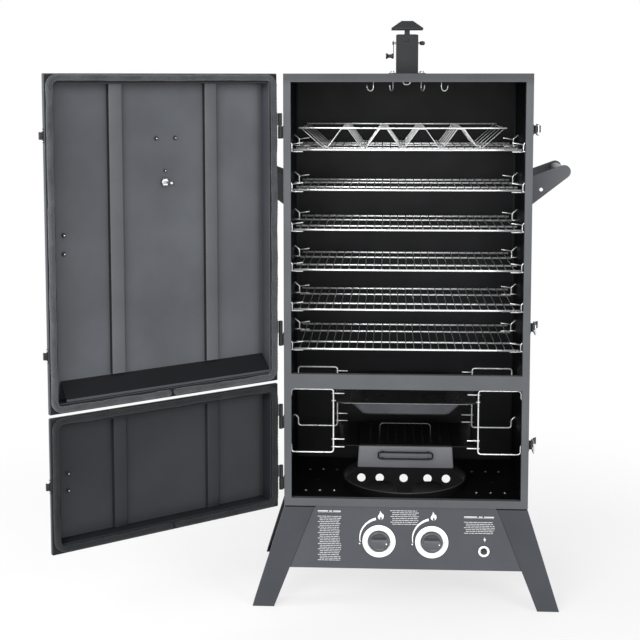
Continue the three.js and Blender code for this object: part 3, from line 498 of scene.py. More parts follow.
    def make(self, name, body, mats, xf=I4, slot=None, replaces=(), bevel=0.0, sharp=38, segments=2, sub=0):
        me = bpy.data.meshes.new(name)
        o = Vector((CX, CY, 0))
        v = [(xf @ Vector(p) + o) / 1000 for p in self.v]
        me.from_pydata(v, [], self.f)
        for m in mats:
            me.materials.append(m)
        me.polygons.foreach_set("material_index", self.m)
        import bmesh
        bm = bmesh.new()
        bm.from_mesh(me)
        bmesh.ops.remove_doubles(bm, verts=bm.verts, dist=1e-6)
        bmesh.ops.recalc_face_normals(bm, faces=bm.faces)
        for e in bm.edges:
            e.smooth = not (len(e.link_faces) == 2 and e.calc_face_angle(0) > math.radians(sharp))
        for fc in bm.faces:
            fc.smooth = True
        bm.to_mesh(me)
        bm.free()
        ob = bpy.data.objects.new(name, me)
        bpy.context.scene.collection.objects.link(ob)
        if bevel:
            b = ob.modifiers.new("edge", "BEVEL")
            b.width, b.segments, b.limit_method, b.angle_limit = bevel / 1000, segments, "ANGLE", math.radians(sharp)
            b.harden_normals = False
            b.use_clamp_overlap = True
        if sub:
            q = ob.modifiers.new("sub", "SUBSURF")
            q.levels = q.render_levels = sub
        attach(ob, body)
        if replaces:
            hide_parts(*replaces)
        return ob


def rounded(x0, x1, y0, y1, r, n=5):
    """Anticlockwise outline of a rectangle with rounded corners."""
    out = []
    for cx, cy, s in ((x1 - r, y0 + r, -90), (x1 - r, y1 - r, 0), (x0 + r, y1 - r, 90), (x0 + r, y0 + r, 180)):
        for i in range(n + 1):
            t = math.radians(s + 90 * i / n)
            out.append((cx + r * math.cos(t), cy + r * math.sin(t)))
    return out


def ring_pts(cx, cy, r, n=32, a0=0.0):
    return [(cx + r * math.cos(a0 + 2 * math.pi * k / n), cy + r * math.sin(a0 + 2 * math.pi * k / n)) for k in range(n)]


def soften(points, radius, n=5, closed=False):
    """Rounds the corners of a bent wire."""
    P = [Vector(p) for p in points]
    out = []
    for i, p in enumerate(P):
        if not closed and i in (0, len(P) - 1):
            out.append(p)
            continue
        a, b = P[(i - 1) % len(P)], P[(i + 1) % len(P)]
        r = min(radius, (a - p).length * 0.48, (b - p).length * 0.48)
        s, e = p + (a - p).normalized() * r, p + (b - p).normalized() * r
        for k in range(n + 1):
            t = k / n
            out.append(s * (1 - t) ** 2 + p * 2 * t * (1 - t) + e * t * t)
    return out


def head(mesh, axis, x, y, z, r, h, sign=-1, mat=0, slot_cut=True, n=28, xf=None):
    """A domed screw head standing out along sign * axis."""
    prof = [(0, 0), (r, 0), (r, sign * h * 0.35), (r * 0.86, sign * h * 0.75), (r * 0.5, sign * h * 0.97), (0, sign * h)]
    mesh.lathe(axis, x, y, z, prof, n, mat, xf)


def edge_nodes(names, mats, width=0.5, pick=None, segments=2):
    """Gives CAD nodes their finish and rounds their edges."""
    for nm in names:
        o = frame["nodes"][nm]
        o.data.materials.clear()
        for m in mats:
            o.data.materials.append(m)
        if pick:
            idx = [pick(p.normal, p.center) for p in o.data.polygons]
            o.data.polygons.foreach_set("material_index", idx)
        o.data.polygons.foreach_set("use_smooth", [False] * len(o.data.polygons))
        w = o.modifiers.new("weld", "WELD")
        w.merge_threshold = 0.00002
        b = o.modifiers.new("edge", "BEVEL")
        b.width, b.segments, b.limit_method, b.angle_limit = width / 1000, segments, "ANGLE", math.radians(40)
        b.use_clamp_overlap = True


# ------------------------------------------------------------------ cabinet sheets
def inside_pick(test):
    return lambda n, c: 1 if test(n, Vector((c.x * 1000 - CX, c.y * 1000 - CY, c.z * 1000))) else 0


edge_nodes(["back_panel"], [PAINT, INSIDE_BLACK_SHADE], 0.4, inside_pick(lambda n, c: n.y < -0.5))
edge_nodes(["front_frame"], [FRAME_TOP_SHADED, INSIDE_BLACK_SHADE], 0.7, inside_pick(lambda n, c: n.y > 0.5))
edge_nodes(["control_panel", "left_skirt", "right_skirt"], [PANEL, DARK], 0.6, inside_pick(lambda n, c: abs(c.y) < YB - 3 and abs(n.y) > 0.5))
edge_nodes(["rear_skirt"], [PANEL, FIREBOX_BLACK_SHADE], 0.4, inside_pick(lambda n, c: n.y < -0.3))
edge_nodes(["front_left_leg", "front_right_leg", "rear_left_leg", "rear_right_leg"], [LEGM], 0.6)
edge_nodes(["chimney_tube", "chimney_cap"], [FLUE], 0.7)
edge_nodes(["damper_plate"], [DARK], 0.4)
edge_nodes(["left_handle_bracket", "right_handle_bracket"], [PAINT], 0.5)
# upward-facing faces of the ledge take the near-black coat: painted shade on its top
edge_nodes(["upper_drip_ledge"], [LEDGEF, LEDGE_TOP_SHADE], 0.5, lambda n, c: 1 if n.z > 0.3 else 0)
edge_nodes(["burner_bracket"], [FIREBOX_BLACK_SHADE], 0.4)

for side, name in ((-1, "left"), (1, "right")):
    m = Mesh()
    x0, x1 = sorted((side * (W / 2 - 1.5), side * W / 2))
    m.box(x0, x1, YF + 2.3, YB, Z0, ZT, 0, 0.5)
    for i, fc in enumerate(m.f):
        p = [Vector(m.v[k]) for k in fc]
        if all(abs(abs(q.x) - (W / 2 - 1.5)) < 0.3 for q in p):
            m.m[i] = 1
    sheet = m.make(f"{name}_side_sheet", "cabinet", [PAINT, INSIDE_BLACK_SHADE], replaces=(f"{name}_side_panel",), slot="painted_steel")

    wires = Mesh()
    wall = side * (W / 2 - 2.2)
    for z in RACK_Z:
        for y in (92, 385):
            Y, x, inx = YF + y, side * 307, side * 278
            lo, hi = Z0 + z - 5.6, Z0 + z + 15
            wires.tube(soften([(wall, Y, hi + 11), (x, Y, hi), (x, Y, lo), (inx, Y, lo)], 4, 5), 1.8, 10)
            wires.tube([(x + side * 0.4, Y, hi - 1.2), (side * 292, Y, hi + 1.2), (inx, Y, hi + 3)], 1.6, 10)
            wires.tube([(x, Y, lo + 1), (wall, Y, lo + 1)], 1.6, 10)
    for y in (80, 355):
        Y, xo, xi = YF + y, side * 309, side * 195
        wires.tube(soften([(wall, Y, Z0 + 268), (xo, Y, Z0 + 276), (xo, Y, Z0 + 298), (xi, Y, Z0 + 298), (xi, Y, Z0 + 124),
                           (xo, Y, Z0 + 124), (xo, Y, Z0 + 148), (wall, Y, Z0 + 156)], 9, 6), 2.1, 12)
        for z in (286, 266, 160, 138.5):
            wires.tube([(side * 199, Y + 2.5, Z0 + z), (side * 166, Y + 2.5, Z0 + z)], 1.7, 10)
    wires.make(f"{name}_rack_hangers", "cabinet", [CHROME], slot="chrome_wire")

# sealing beads along the inner seams
m = Mesh()
for side in (-1, 1):
    x0, x1 = sorted((side * 315, side * 321.6))
    m.box(x0, x1, 222.2, 224.9, Z0 + 2, ZT - 2, 0, 0.3)
    for z0, z1 in ((ZT - 3.4, ZT - 1.3), (Z0 + 1.3, Z0 + 3)):
        m.box(x0, x1, YF + 3, 223, z0, z1, 0, 0.3)
for z0, z1 in ((ZT - 3.4, ZT - 1.3), (Z0 + 1.3, Z0 + 3)):
    m.box(-321, 321, 219.0, 224.9, z0, z1, 0, 0.3)
m.make("seam_beads", "cabinet", [INSIDE_BLACK_SHADE], I4, "painted_steel")

# latch bases on the right side
m = Mesh()
for z in LATCH_Z:
    zc = Z0 + z
    m.box(W / 2, W / 2 + 2, YF + 8, YF + 62, zc - 14, zc + 14, 0, 0.6)
    for s in (1, -1):
        a, b = sorted((zc + s * 9.4, zc + s * 10.9))
        m.box(W / 2 + 1, 333.2, YF + 16.5, YF + 27.5, a, b, 0, 0.5)
    for y in (YF + 38, YF + 55):
        for dz in (-8, 8):
            head(m, "x", W / 2 + 2, y, zc + dz, 2.6, 1.3, 1, 1)
m.make("latch_bases", "cabinet", [DARK, ZINC], slot="painted_steel_dark")

# roof with the flue hole, hooks and eye
m = Mesh()
m.plate([(-W / 2 + 1.8, YF + 2.3), (W / 2 - 1.8, YF + 2.3), (W / 2 - 1.8, YB - 1.8), (-W / 2 + 1.8, YB - 1.8)],
        [[(-27, -27), (27, -27), (27, 27), (-27, 27)]], ZT - 1.5, ZT, "XY")
for i, fc in enumerate(m.f):
    if all(abs(m.v[k][2] - (ZT - 1.5)) < 0.01 for k in fc):
        m.m[i] = 1
m.make("roof_sheet", "cabinet", [PAINT, INSIDE_BLACK_SHADE], replaces=("top_panel",), slot="painted_steel", bevel=0.4)
m = Mesh()
for x, y, turn, reach in ((-92, 0, 180, 17), (-38, -6, 235, 15), (39, -6, -55, 15), (95, 0, 0, 17)):
    c, s = math.cos(math.radians(turn)), math.sin(math.radians(turn))
    line = [(0, -1.6), (0, -40), (reach * 0.16, -45.4), (reach * 0.5, -47.6), (reach * 0.82, -44.5), (reach, -38), (reach * 1.04, -31)]
    m.tube(soften([(x + a * c, y + a * s, ZT + z) for a, z in line], 5, 4), lambda i: 1.6, 12)
    m.lathe("z", x, y, ZT - 4.6, [(0, 0), (5, 0), (5.4, 0.6), (5.4, 2.6), (0, 3.0)], 20)
m.tube(soften([(-10, 34, ZT - 2), (-10, 34, ZT - 30), (10, 34, ZT - 30), (10, 34, ZT - 2)], 9.5, 8), 1.8, 12)
m.make("meat_hooks", "cabinet", [CHROME_SHADED], slot="chrome_wire")

# floor with drain holes and the raised collar
m = Mesh()
holes = [ring_pts(0, 0, 168, 120)]
for s in (-1, 1):
    for x in (195, 234, 272):
        for y in (-98, 98):
            holes.append(ring_pts(s * x, y, 3.2, 16))
    holes.append(rounded(s * 244 - 8, s * 244 + 8, -2.5, 1.5, 1.9, 4))
m.plate([(-W / 2 + 1.8, YF + 2.3), (W / 2 - 1.8, YF + 2.3), (W / 2 - 1.8, YB - 1.8), (-W / 2 + 1.8, YB - 1.8)], holes, Z0, Z0 + 1.5, "XY")
m.lathe("z", 0, 0, Z0, [(168, 0.2), (170, 0.2), (170, 17), (171.2, 18.2), (172.6, 19.6), (172.4, 21.4), (170.4, 22), (168.6, 21.2), (168, 19)], 160, 0)
# the collar's rolled top lip takes the lighter coat: painted highlight
for i, fc in enumerate(m.f):
    if min(m.v[k][2] for k in fc) > Z0 + 16.5 and math.hypot(m.v[fc[0]][0], m.v[fc[0]][1]) > 170.1 and math.hypot(m.v[fc[0]][0], m.v[fc[0]][1]) < 175:
        m.m[i] = 1
# bright zinc rims round the drain holes: painted glints
for s in (-1, 1):
    for x in (195, 234, 272):
        for y in (-98, 98):
            m.lathe("z", s * x, y, Z0 + 1.5, [(3.1, -0.4), (3.5, 0.5), (4.0, 0.75), (4.6, 0.4), (4.9, -0.2)], 20, 2)
m.make("firebox_floor", "cabinet", [FIREBOX_BLACK_SHADE, COLLAR_LIT, ZINC], replaces=("floor_panel",), slot="painted_steel_dark")

# ------------------------------------------------------------------ doors
LIPW = 24.0


def door_shell(z0, z1):
    """Pressed door: raised middle panel, flat border with its outer edge turned back, as one closed sheet."""
    m = Mesh()
    rc = 3.0
    I = LIPW - 2
    prof = [(I + 3.0, DY0), (I + 1.2, DY0 + 0.35), (I + 0.35, DY0 + 1.2), (I, DY0 + 3.0), (I, DY1 - 3.6), (I - 0.4, DY1 - 2.5), (I - 1.5, DY1 - 2.0),
            (3.6, DY1 - 2.0), (2.5, DY1 - 2.4), (2.0, DY1 - 3.4), (2.0, DY1 - 8.5), (1.7, DY1 - 8.9), (0.4, DY1 - 8.9), (0.0, DY1 - 8.5), (0.0, DY1 - 2.2), (0.3, DY1 - 0.9), (0.9, DY1 - 0.3), (2.2, DY1),
            (LIPW - 2.0, DY1), (LIPW - 0.8, DY1 - 0.3), (LIPW - 0.2, DY1 - 1.0), (LIPW, DY1 - 2.2), (LIPW + 0.6, DY0 + 5.0), (LIPW + 1.4, DY0 + 2.9), (LIPW + 3.4, DY0 + 2.0)]
    rings = []
    for d, y in prof:
        r = max(rc - d, 0.9) if d < 5 else 4.0 + max(0, 3 - abs(d - LIPW)) * 0.2
        rings.append([(px, y, pz) for px, pz in rounded(DL + d, DR - d, z0 + d, z1 - d, r, 5)])
    m.loft(rings, True)
    for i, fc in enumerate(m.f):
        d = sum(max(DL + 12, min(DR - 12, m.v[k][0])) - m.v[k][0] for k in fc)
        y = sum(m.v[k][1] for k in fc) / len(fc)
        inset = min(min(m.v[k][0] - DL, DR - m.v[k][0], m.v[k][2] - z0, z1 - m.v[k][2]) for k in fc)
        if y < DY0 + 1.0 or (inset < LIPW - 1.5 and y < DY1 - 1.9):
            m.m[i] = 1
        # index 2, the lip's rounded inner edge: the lighter coat on the upper door, a painted highlight
        elif LIPW - 1.3 < inset < LIPW + 0.2 and y > DY1 - 1.8:
            m.m[i] = 2
        # index 3, the lip under the rope: near-black, painted shade
        elif inset > 2.0 and y > DY1 - 1.6:
            m.m[i] = 3
    return m


def ribs(m, z0, z1, foot):
    """Hat-section stiffeners welded to the skin."""
    yb = DY0 + 1.6
    for a, b in ((160.5, 199.5), (425, 465)):
        x0, x1 = DL + a, DL + b
        sec = [(x0, yb), (x0 + 0.8, yb + 1.6), (x0 + 2.2, yb + 8.2), (x0 + 3.4, yb + 9.4), (x0 + 5, yb + 9.8),
               (x1 - 5, yb + 9.8), (x1 - 3.4, yb + 9.4), (x1 - 2.2, yb + 8.2), (x1 - 0.8, yb + 1.6), (x1, yb)]
        rings = [[(x, y, z) for x, y in sec] for z in (z0 + foot, z0 + foot + 2, (z0 + z1) / 2, z1 - LIPW - 1.2)]
        first = len(m.f)
        m.loft(rings, True)
        for i in range(first, len(m.f)):
            # rib sides near-black as painted shade, rib tops in the lighter coat as painted highlight
            m.m[i] = 3 if max(m.v[k][1] for k in m.f[i]) < yb + 8.6 else 2


def nut(m, t, z, r, h, mat=1, y=DY0 + 2):
    m.lathe("y", DL + t, y, Z0 + z, [(0, 0), (r * 1.25, 0), (r * 1.25, 0.7), (r, 0.9)], 24, 0)
    m.lathe("y", DL + t, y + 0.7, Z0 + z, [(0, 0), (r, 0), (r, h * 0.62), (r * 0.9, h * 0.74), (r * 0.42, h * 0.76), (0, h * 0.76)], 6, 0)
    m.lathe("y", DL + t, y + 0.7, Z0 + z, [(0, 0), (r * 0.42, 0), (r * 0.42, h), (r * 0.3, h * 1.12), (0, h * 1.15)], 16, mat)


def fittings(m, keepers, hinges):
    for z in keepers:
        zc = Z0 + z
        m.box(DR - 0.6, DR + 1.6, YF - 12.9, YF - 4.6, zc - 16.8, zc + 16.8, 0, 0.5)
        m.box(DR + 1, DR + 10, YF - 9.2, YF - 6.7, zc - 8.9, zc + 8.9, 0, 0.6)
        m.box(DR + 7.6, DR + 10, YF - 14.2, YF - 7, zc - 8.9, zc + 8.9, 0, 0.8)
        for dz in (-13, 13):
            head(m, "x", DR + 1.6, YF - 8.6, zc + dz, 2.2, 1.1, 1, 1)
    for z in hinges:
        zc = Z0 + z
        m.lathe("z", PIN[0], PIN[1], zc + 16.75, [(3.4, -16.2), (4.9, -16.2), (5.5, -15.6), (5.5, 15.6), (4.9, 16.2), (3.4, 16.2)], 32)
        m.box(PIN[0] + 4.6, DL + 0.8, YF - 8, YF - 5.6, zc + 0.6, zc + 32.9, 0, 0.5)
        m.box(DL - 1.9, DL + 0.6, YF - 12.9, YF - 5.7, zc + 0.6, zc + 32.9, 0, 0.5)
        for dz in (9, 25):
            head(m, "x", DL - 1.9, YF - 9.4, zc + dz, 2.4, 1.2, -1, 1)


m = door_shell(Z0 + 341, Z0 + 1146)
ribs(m, Z0 + 341, Z0 + 1146, 72)
m.make("upper_door_pressing", "upper_door", [DOORM, PAINT, RIB_LIT, SHADE_BLACK], SWING, "painted_steel", ("upper_door_shell",))
m = Mesh()
for t, z, r, h in ((332, 986, 4.2, 4.6), (279, 986, 4.2, 4.6), (308, 905, 3.2, 3.6), (287, 872, 2.4, 2.4), (582, 762, 4.6, 5), (582, 717, 4.6, 5)):
    nut(m, t, z, r, h, 1)
fittings(m, LATCH_Z[:2], (1011, 466))
m.make("upper_door_fittings", "upper_door", [DARK, ZINC], SWING, "painted_steel_dark")

m = door_shell(Z0, Z0 + 333)
ribs(m, Z0, Z0 + 333, LIPW + 1.2)
m.make("lower_door_pressing", "lower_door", [DOOR_LOWER_SHADED, PAINT, DOOR_LOWER_SHADED, SHADE_BLACK], SWING, "painted_steel", ("lower_door_shell",))
m = Mesh()
for t, z, r, h in ((582, 182, 4.6, 5), (582, 140, 4.6, 5)):
    nut(m, t, z, r, h, 1)
fittings(m, LATCH_Z[2:], (243, 78))
m.make("lower_door_fittings", "lower_door", [DARK, ZINC], SWING, "painted_steel_dark")


def gasket(name, z0, z1, body, node, seed, rope=ROPE):
    """Braided rope laid round the lip: a slightly wandering, lumpy D section with a woven surface and loose filaments, its two ends meeting at the bottom."""
    inset, rc = 11.5, 21.0
    path = rounded(DL + inset, DR - 12.0, z0 + inset, z1 - 9.8, rc, 14)
    pts = [Vector((x, 0, z)) for x, z in path]
    dense = []
    for i, p in enumerate(pts):
        q = pts[(i + 1) % len(pts)]
        k = max(1, int((q - p).length / 2.6))
        dense += [p.lerp(q, j / k) for j in range(k)]
    mid = min(range(len(dense)), key=lambda i: (dense[i] - Vector((-6, 0, z0 + inset))).length)
    dense = dense[mid:] + dense[:mid]
    dense = dense[1:-1]
    n = 22
    rings, s, total = [], 0.0, len(dense)
    centre = Vector(((DL + DR) / 2, 0, (z0 + z1) / 2))
    for i, p in enumerate(dense):
        a, b = dense[max(i - 1, 0)], dense[min(i + 1, total - 1)]
        t = (b - a).normalized()
        out = Vector((t.z, 0, -t.x))
        if i:
            s += (p - dense[i - 1]).length
        near = min(1.0, min(i, total - 1 - i) / 3.0)
        taper = math.sqrt(max(0.02, 1 - (1 - near) ** 2))
        wander = 2.0 * noise.noise(Vector((s / 90.0, seed, 0.3))) + 0.6 * noise.noise(Vector((s / 26.0, seed, 5.3)))
        wide = 7.7 + 0.8 * noise.noise(Vector((s / 55.0, seed, 9.1)))
        tall = 12.6 + 1.4 * noise.noise(Vector((s / 70.0, seed, 3.7)))
        ring = []
        for k in range(n):
            f = k / n
            if f < 0.5:
                an = math.pi * (f / 0.5)
                cx, cy = math.cos(an), math.sin(an) ** 0.8
            else:
                g = (f - 0.5) / 0.5
                cx, cy = -1 + 2 * g, 0.0
            if cy > 0:
                u = 2 * math.pi * s / 9.0
                w = 4 * math.pi * math.acos(max(-1, min(1, cx))) / math.pi
                braid = 0.42 * max(math.cos(u + w), math.cos(u - w))
                rag = 0.55 * noise.noise(Vector((s / 3.1, cx * 4 + seed, cy * 4)))
            else:
                braid = rag = 0.0
            off = cx * (wide + (braid + rag) * abs(cx)) * taper
            up = cy * (tall + braid * 1.2 + rag) * taper
            q = p + out * (off + wander) * 1.0
            ring.append((q.x, DY1 + 0.15 + up, q.z))
        rings.append(ring)
    m = Mesh()
    m.loft(rings, True)
    rng = random.Random(seed)
    for _ in range(int(total * 2.2)):
        i = rng.randrange(4, total - 4)
        k = rng.randrange(0, n // 2 + 1)
        p = Vector(rings[i][k])
        a = (Vector(rings[i][k]) - Vector((dense[i].x, DY1 + 5, dense[i].z))).normalized()
        d = (a + Vector((rng.uniform(-1, 1), rng.uniform(-0.4, 1), rng.uniform(-1, 1))) * 0.9).normalized()
        ln = rng.uniform(0.8, 2.4)
        side = d.orthogonal().normalized() * 0.09
        side2 = d.cross(side)
        tip = p + d * ln + Vector((0, 0, -0.2 * ln))
        m.add([p - d * 0.4 + side, p - d * 0.4 - side * 0.5 + side2 * 0.87, p - d * 0.4 - side * 0.5 - side2 * 0.87, tip], [(0, 1, 3), (1, 2, 3), (2, 0, 3), (0, 2, 1)])
    g = m.make(name, body, [rope], SWING, "rope_gasket", (node,), sharp=180)
    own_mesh(g)
    return g


gasket("upper_rope_gasket", Z0 + 341, Z0 + 1146, "upper_door", "upper_door_gasket", 3)
gasket("lower_rope_gasket", Z0, Z0 + 333, "lower_door", "lower_door_gasket", 8, ROPE_SHADED)

# door pulls
for nm, z, body in (("upper", 739.5, "upper_door"), ("lower", 161, "lower_door")):
    m = Mesh()
    x, zc, y = DL + 582, Z0 + z, DY0 - 0.3
    m.box(x - 10, x + 10, y - 2, y, zc - 34, zc + 34, 0, 0.8)
    for s in (-22, 22):
        m.lathe("y", x, y - 2, zc + s, [(0, 0), (7, 0), (6.2, -2.5), (5, -5), (5, -30), (0, -34)], 28)
    m.lathe("z", x, y - 38, zc, [(0, -62), (5.6, -61.4), (7.4, -59.6), (8.6, -55), (9, -40), (9, 40), (8.6, 55), (7.4, 59.6), (5.6, 61.4), (0, 62)], 36)
    m.make(f"{nm}_door_pull", body, [BLACK], SWING, "handle_black", (f"{nm}_door_handle",))

# thermometer
gx, gy, gz = DL + 310, DY0 - 0.3, Z0 + 877
m = Mesh()
m.lathe("y", gx, gy, gz, [(0, 0), (33, 0), (37, -1.5), (38, -3), (38, -11), (37.2, -13.4), (35.6, -14.8), (34.4, -14.8), (34, -13.8), (34, -7), (0, -7)], 72)
m.cyl("y", gx, gy + 20.5, gz, 3.2, 41, 24)
m.make("gauge_case", "upper_door", [ZINC], SWING, "dial_steel", ("thermometer_case",))
m = Mesh()
m.lathe("y", gx, gy - 7.0, gz, [(0, 0), (33.6, 0), (33.6, -0.6), (2.6, -0.6), (2.6, -0.3), (0, -0.3)], 72, 0)
for k in range(0, 25):
    a = math.radians(-120 + 240 * k / 24)
    big = k % 4 == 0
    R = Matrix.Translation((gx, gy - 7.6, gz)) @ Matrix.Rotation(a, 4, "Y")
    m.box(-0.45 if big else -0.25, 0.45 if big else 0.25, -0.12, 0.05, 24 if big else 26.5, 30.5, 1, 0, xf=R)
m.cyl("y", gx, gy - 7.9, gz, 2.2, 0.9, 20, 1)
m.make("gauge_dial", "upper_door", [DIALF, INK], SWING, "dial_steel")
for k in range(7):
    a = math.radians(-120 + 240 * k / 6)
    cu = bpy.data.curves.new(f"gauge_number_{k + 1}", "FONT")
    cu.body, cu.size, cu.align_x, cu.align_y, cu.extrude = str(50 * k + 50), 0.0062, "CENTER", "CENTER", 0.00006
    cu.materials.append(INK)
    ob = bpy.data.objects.new(f"gauge_number_{k + 1}", cu)
    bpy.context.scene.collection.objects.link(ob)
    p = Vector((gx + 19 * math.sin(a), gy - 7.75, gz + 19 * math.cos(a)))
    # seen from outside: +X of the text runs along +x of the closed door
    local = Matrix.Rotation(math.radians(90), 4, "X")
    ob.matrix_world = Matrix.Translation((CX / 1000, CY / 1000, 0)) @ Matrix.Scale(0.001, 4) @ SWING @ Matrix.Translation(p) @ Matrix.Scale(1000, 4) @ local
    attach(ob, "upper_door")
m = Mesh()
R = Matrix.Translation((gx, gy - 10.2, gz)) @ Matrix.Rotation(math.radians(-120), 4, "Y")
m.lathe("y", gx, gy - 10.2, gz, [(2.7, -0.8), (4.6, -0.8), (5, -0.3), (5, 0.5), (4.6, 0.8), (2.7, 0.8)], 32, 0)
m.add([tuple(R @ Vector(p)) for p in ((-1.5, -0.5, 4), (1.5, -0.5, 4), (0.25, -0.5, 27), (-0.25, -0.5, 27), (-1.5, 0.3, 4), (1.5, 0.3, 4), (0.25, 0.3, 27), (-0.25, 0.3, 27),)],
      [(0, 1, 2, 3), (7, 6, 5, 4), (0, 4, 5, 1), (1, 5, 6, 2), (2, 6, 7, 3), (3, 7, 4, 0)], False, 0)
m.make("gauge_needle", "pointer", [RED], SWING, "black_plastic", ("thermometer_pointer",))
m = Mesh()
m.lathe("y", gx, gy - 12.4, gz, [(0, 0), (33.8, 0), (33.8, -1.2), (26, -1.9), (14, -2.4), (0, -2.6)], 72)
m.make("gauge_glass", "upper_door", [GLASS], SWING, "dial_steel")
m = Mesh()
ny = DY0 + 2.3
rings = []
for y, r in ((ny, 8.9), (ny, 9.9), (ny + 0.6, 10), (ny + 5.2, 10), (ny + 6, 9.2), (ny + 6, 3.7), (ny, 3.7)):
    nn = 6 if r > 5 else 6
    rings.append([(gx + r * math.cos(k * math.pi / 3), y, gz + r * math.sin(k * math.pi / 3)) for k in range(6)])
m.loft(rings, False, closed=True)
m.make("gauge_nut", "upper_door", [ZINC], SWING, "plain_steel", ("thermometer_nut",), sharp=25)
m = Mesh()
m.cyl("y", gx, DY0 + 10, gz, 2.6, 40, 20)
m.make("gauge_probe", "upper_door", [CHROME], SWING, "plain_steel")

# ------------------------------------------------------------------ hinges on the cabinet
for nm, z in HINGE_Z:
    m = Mesh()
    zc = Z0 + z
    m.lathe("z", PIN[0], PIN[1], zc - 16.75, [(0, -16.2), (4.9, -16.2), (5.5, -15.6), (5.5, 15.6), (4.9, 16.2), (2.9, 16.2), (2.9, 42), (2.2, 44), (0, 44)], 32)
    m.box(PIN[0] + 4.6, -W / 2 - 0.3, YF + 0.2, YF + 2.6, zc - 32.9, zc - 0.6, 0, 0.5)
    m.box(-W / 2 - 2.3, -W / 2 - 0.3, YF + 0.3, YF + 34, zc - 32.9, zc - 0.6, 0, 0.5)
    for dz in (-25, -9):
        head(m, "x", -W / 2 - 2.3, YF + 22, zc + dz, 2.6, 1.3, -1, 1)
    m.make(f"{nm}_leaf", "cabinet", [DARK, ZINC], I4, "painted_steel_dark", (nm,))

# ------------------------------------------------------------------ latches
edge_nodes([f"latch_lever_{i}" for i in (1, 2, 3)], [DARK], 0.5)
P1 = (329.0, YF + 22)
r7 = math.radians(9.5)
P2 = (P1[0] + 3 * math.cos(r7) + 12 * math.sin(r7), P1[1] - 3 * math.sin(r7) + 12 * math.cos(r7))
for i, z in enumerate(LATCH_Z, 1):
    m = Mesh()
    zc = Z0 + z
    m.tube(soften([(P2[0], P2[1], zc - 13), (P2[0], P2[1], zc + 13), (P2[0], P2[1] - 46.1, zc + 13), (P2[0], P2[1] - 46.1, zc - 13)], 2.5, 5, True), 1.7, 14, True)
    m.make(f"latch_bail_{i}", f"latch_loop_{i}", [ZINC], I4, "plain_steel", (f"latch_loop_{i}",))

# ------------------------------------------------------------------ racks
RODS = (81.5, 183, 339, 443)
for i, z in enumerate(RACK_Z, 1):
    m = Mesh()
    zc = Z0 + z
    for j, y in enumerate(RODS):
        r = 3.0 if j in (0, 3) else 2.5
        m.tube([(-301, YF + y, zc - (0 if j in (0, 3) else 0.5)), (0, YF + y, zc - (0.3 if j in (0, 3) else 0.8)), (301, YF + y, zc - (0 if j in (0, 3) else 0.5))], r, 14)
    rng = random.Random(100 + i)
    for k in range(27):
        x = -286 + 22 * k + rng.uniform(-0.8, 0.8)
        zz = zc + 3.9
        m.tube([(x, YF + 79.2, zz - 0.3), (x + rng.uniform(-0.4, 0.4), YF + 150, zz), (x, YF + 260, zz - 0.6), (x + rng.uniform(-0.4, 0.4), YF + 380, zz), (x, YF + 445.4, zz - 0.2)], 1.2, 8, mat=1)
    m.make(f"wire_rack_{i}", f"rack_{i}", [CHROME, CHROME_SHADED], I4, "chrome_wire", (f"rack_{i}",))

# rib rack
m = Mesh()
zb, zt = Z0 + RACK_Z[0] + 7.3, Z0 + 1001.5
zig = [(-281, zt)]
for x in (-218, -115, -12, 90, 193):
    zig += [(x - 8, zb), (x + 8, zb)]
    if x < 190:
        zig += [(x + 42, zt - 2), (x + 61, zt - 2)]
zig += [(256, zt)]
ROWS = [90, 175, 260, 345, 430]
for y in ROWS:
    m.tube(soften([(x, YF + y, z) for x, z in zig], 3.0, 4), 1.15, 10, mat=1)
for y in (88, 432):
    m.tube([(-287, YF + y, zt + 1), (-12, YF + y, zt + 0.4), (262, YF + y, zt + 1)], 2.2, 12)
for x in (-218, -115, -12, 90, 193):
    m.tube([(x, YF + 86, zb + 2.8), (x, YF + 434, zb + 2.8)], 1.4, 10)
for x in (-281, 256):
    m.tube([(x, YF + 88, zt + 0.2), (x, YF + 432, zt + 0.2)], 1.4, 10)
m.make("rib_rack_wires", "rib_rack", [CHROME, CHROME_SHADED], I4, "chrome_wire", ("rib_rack",))


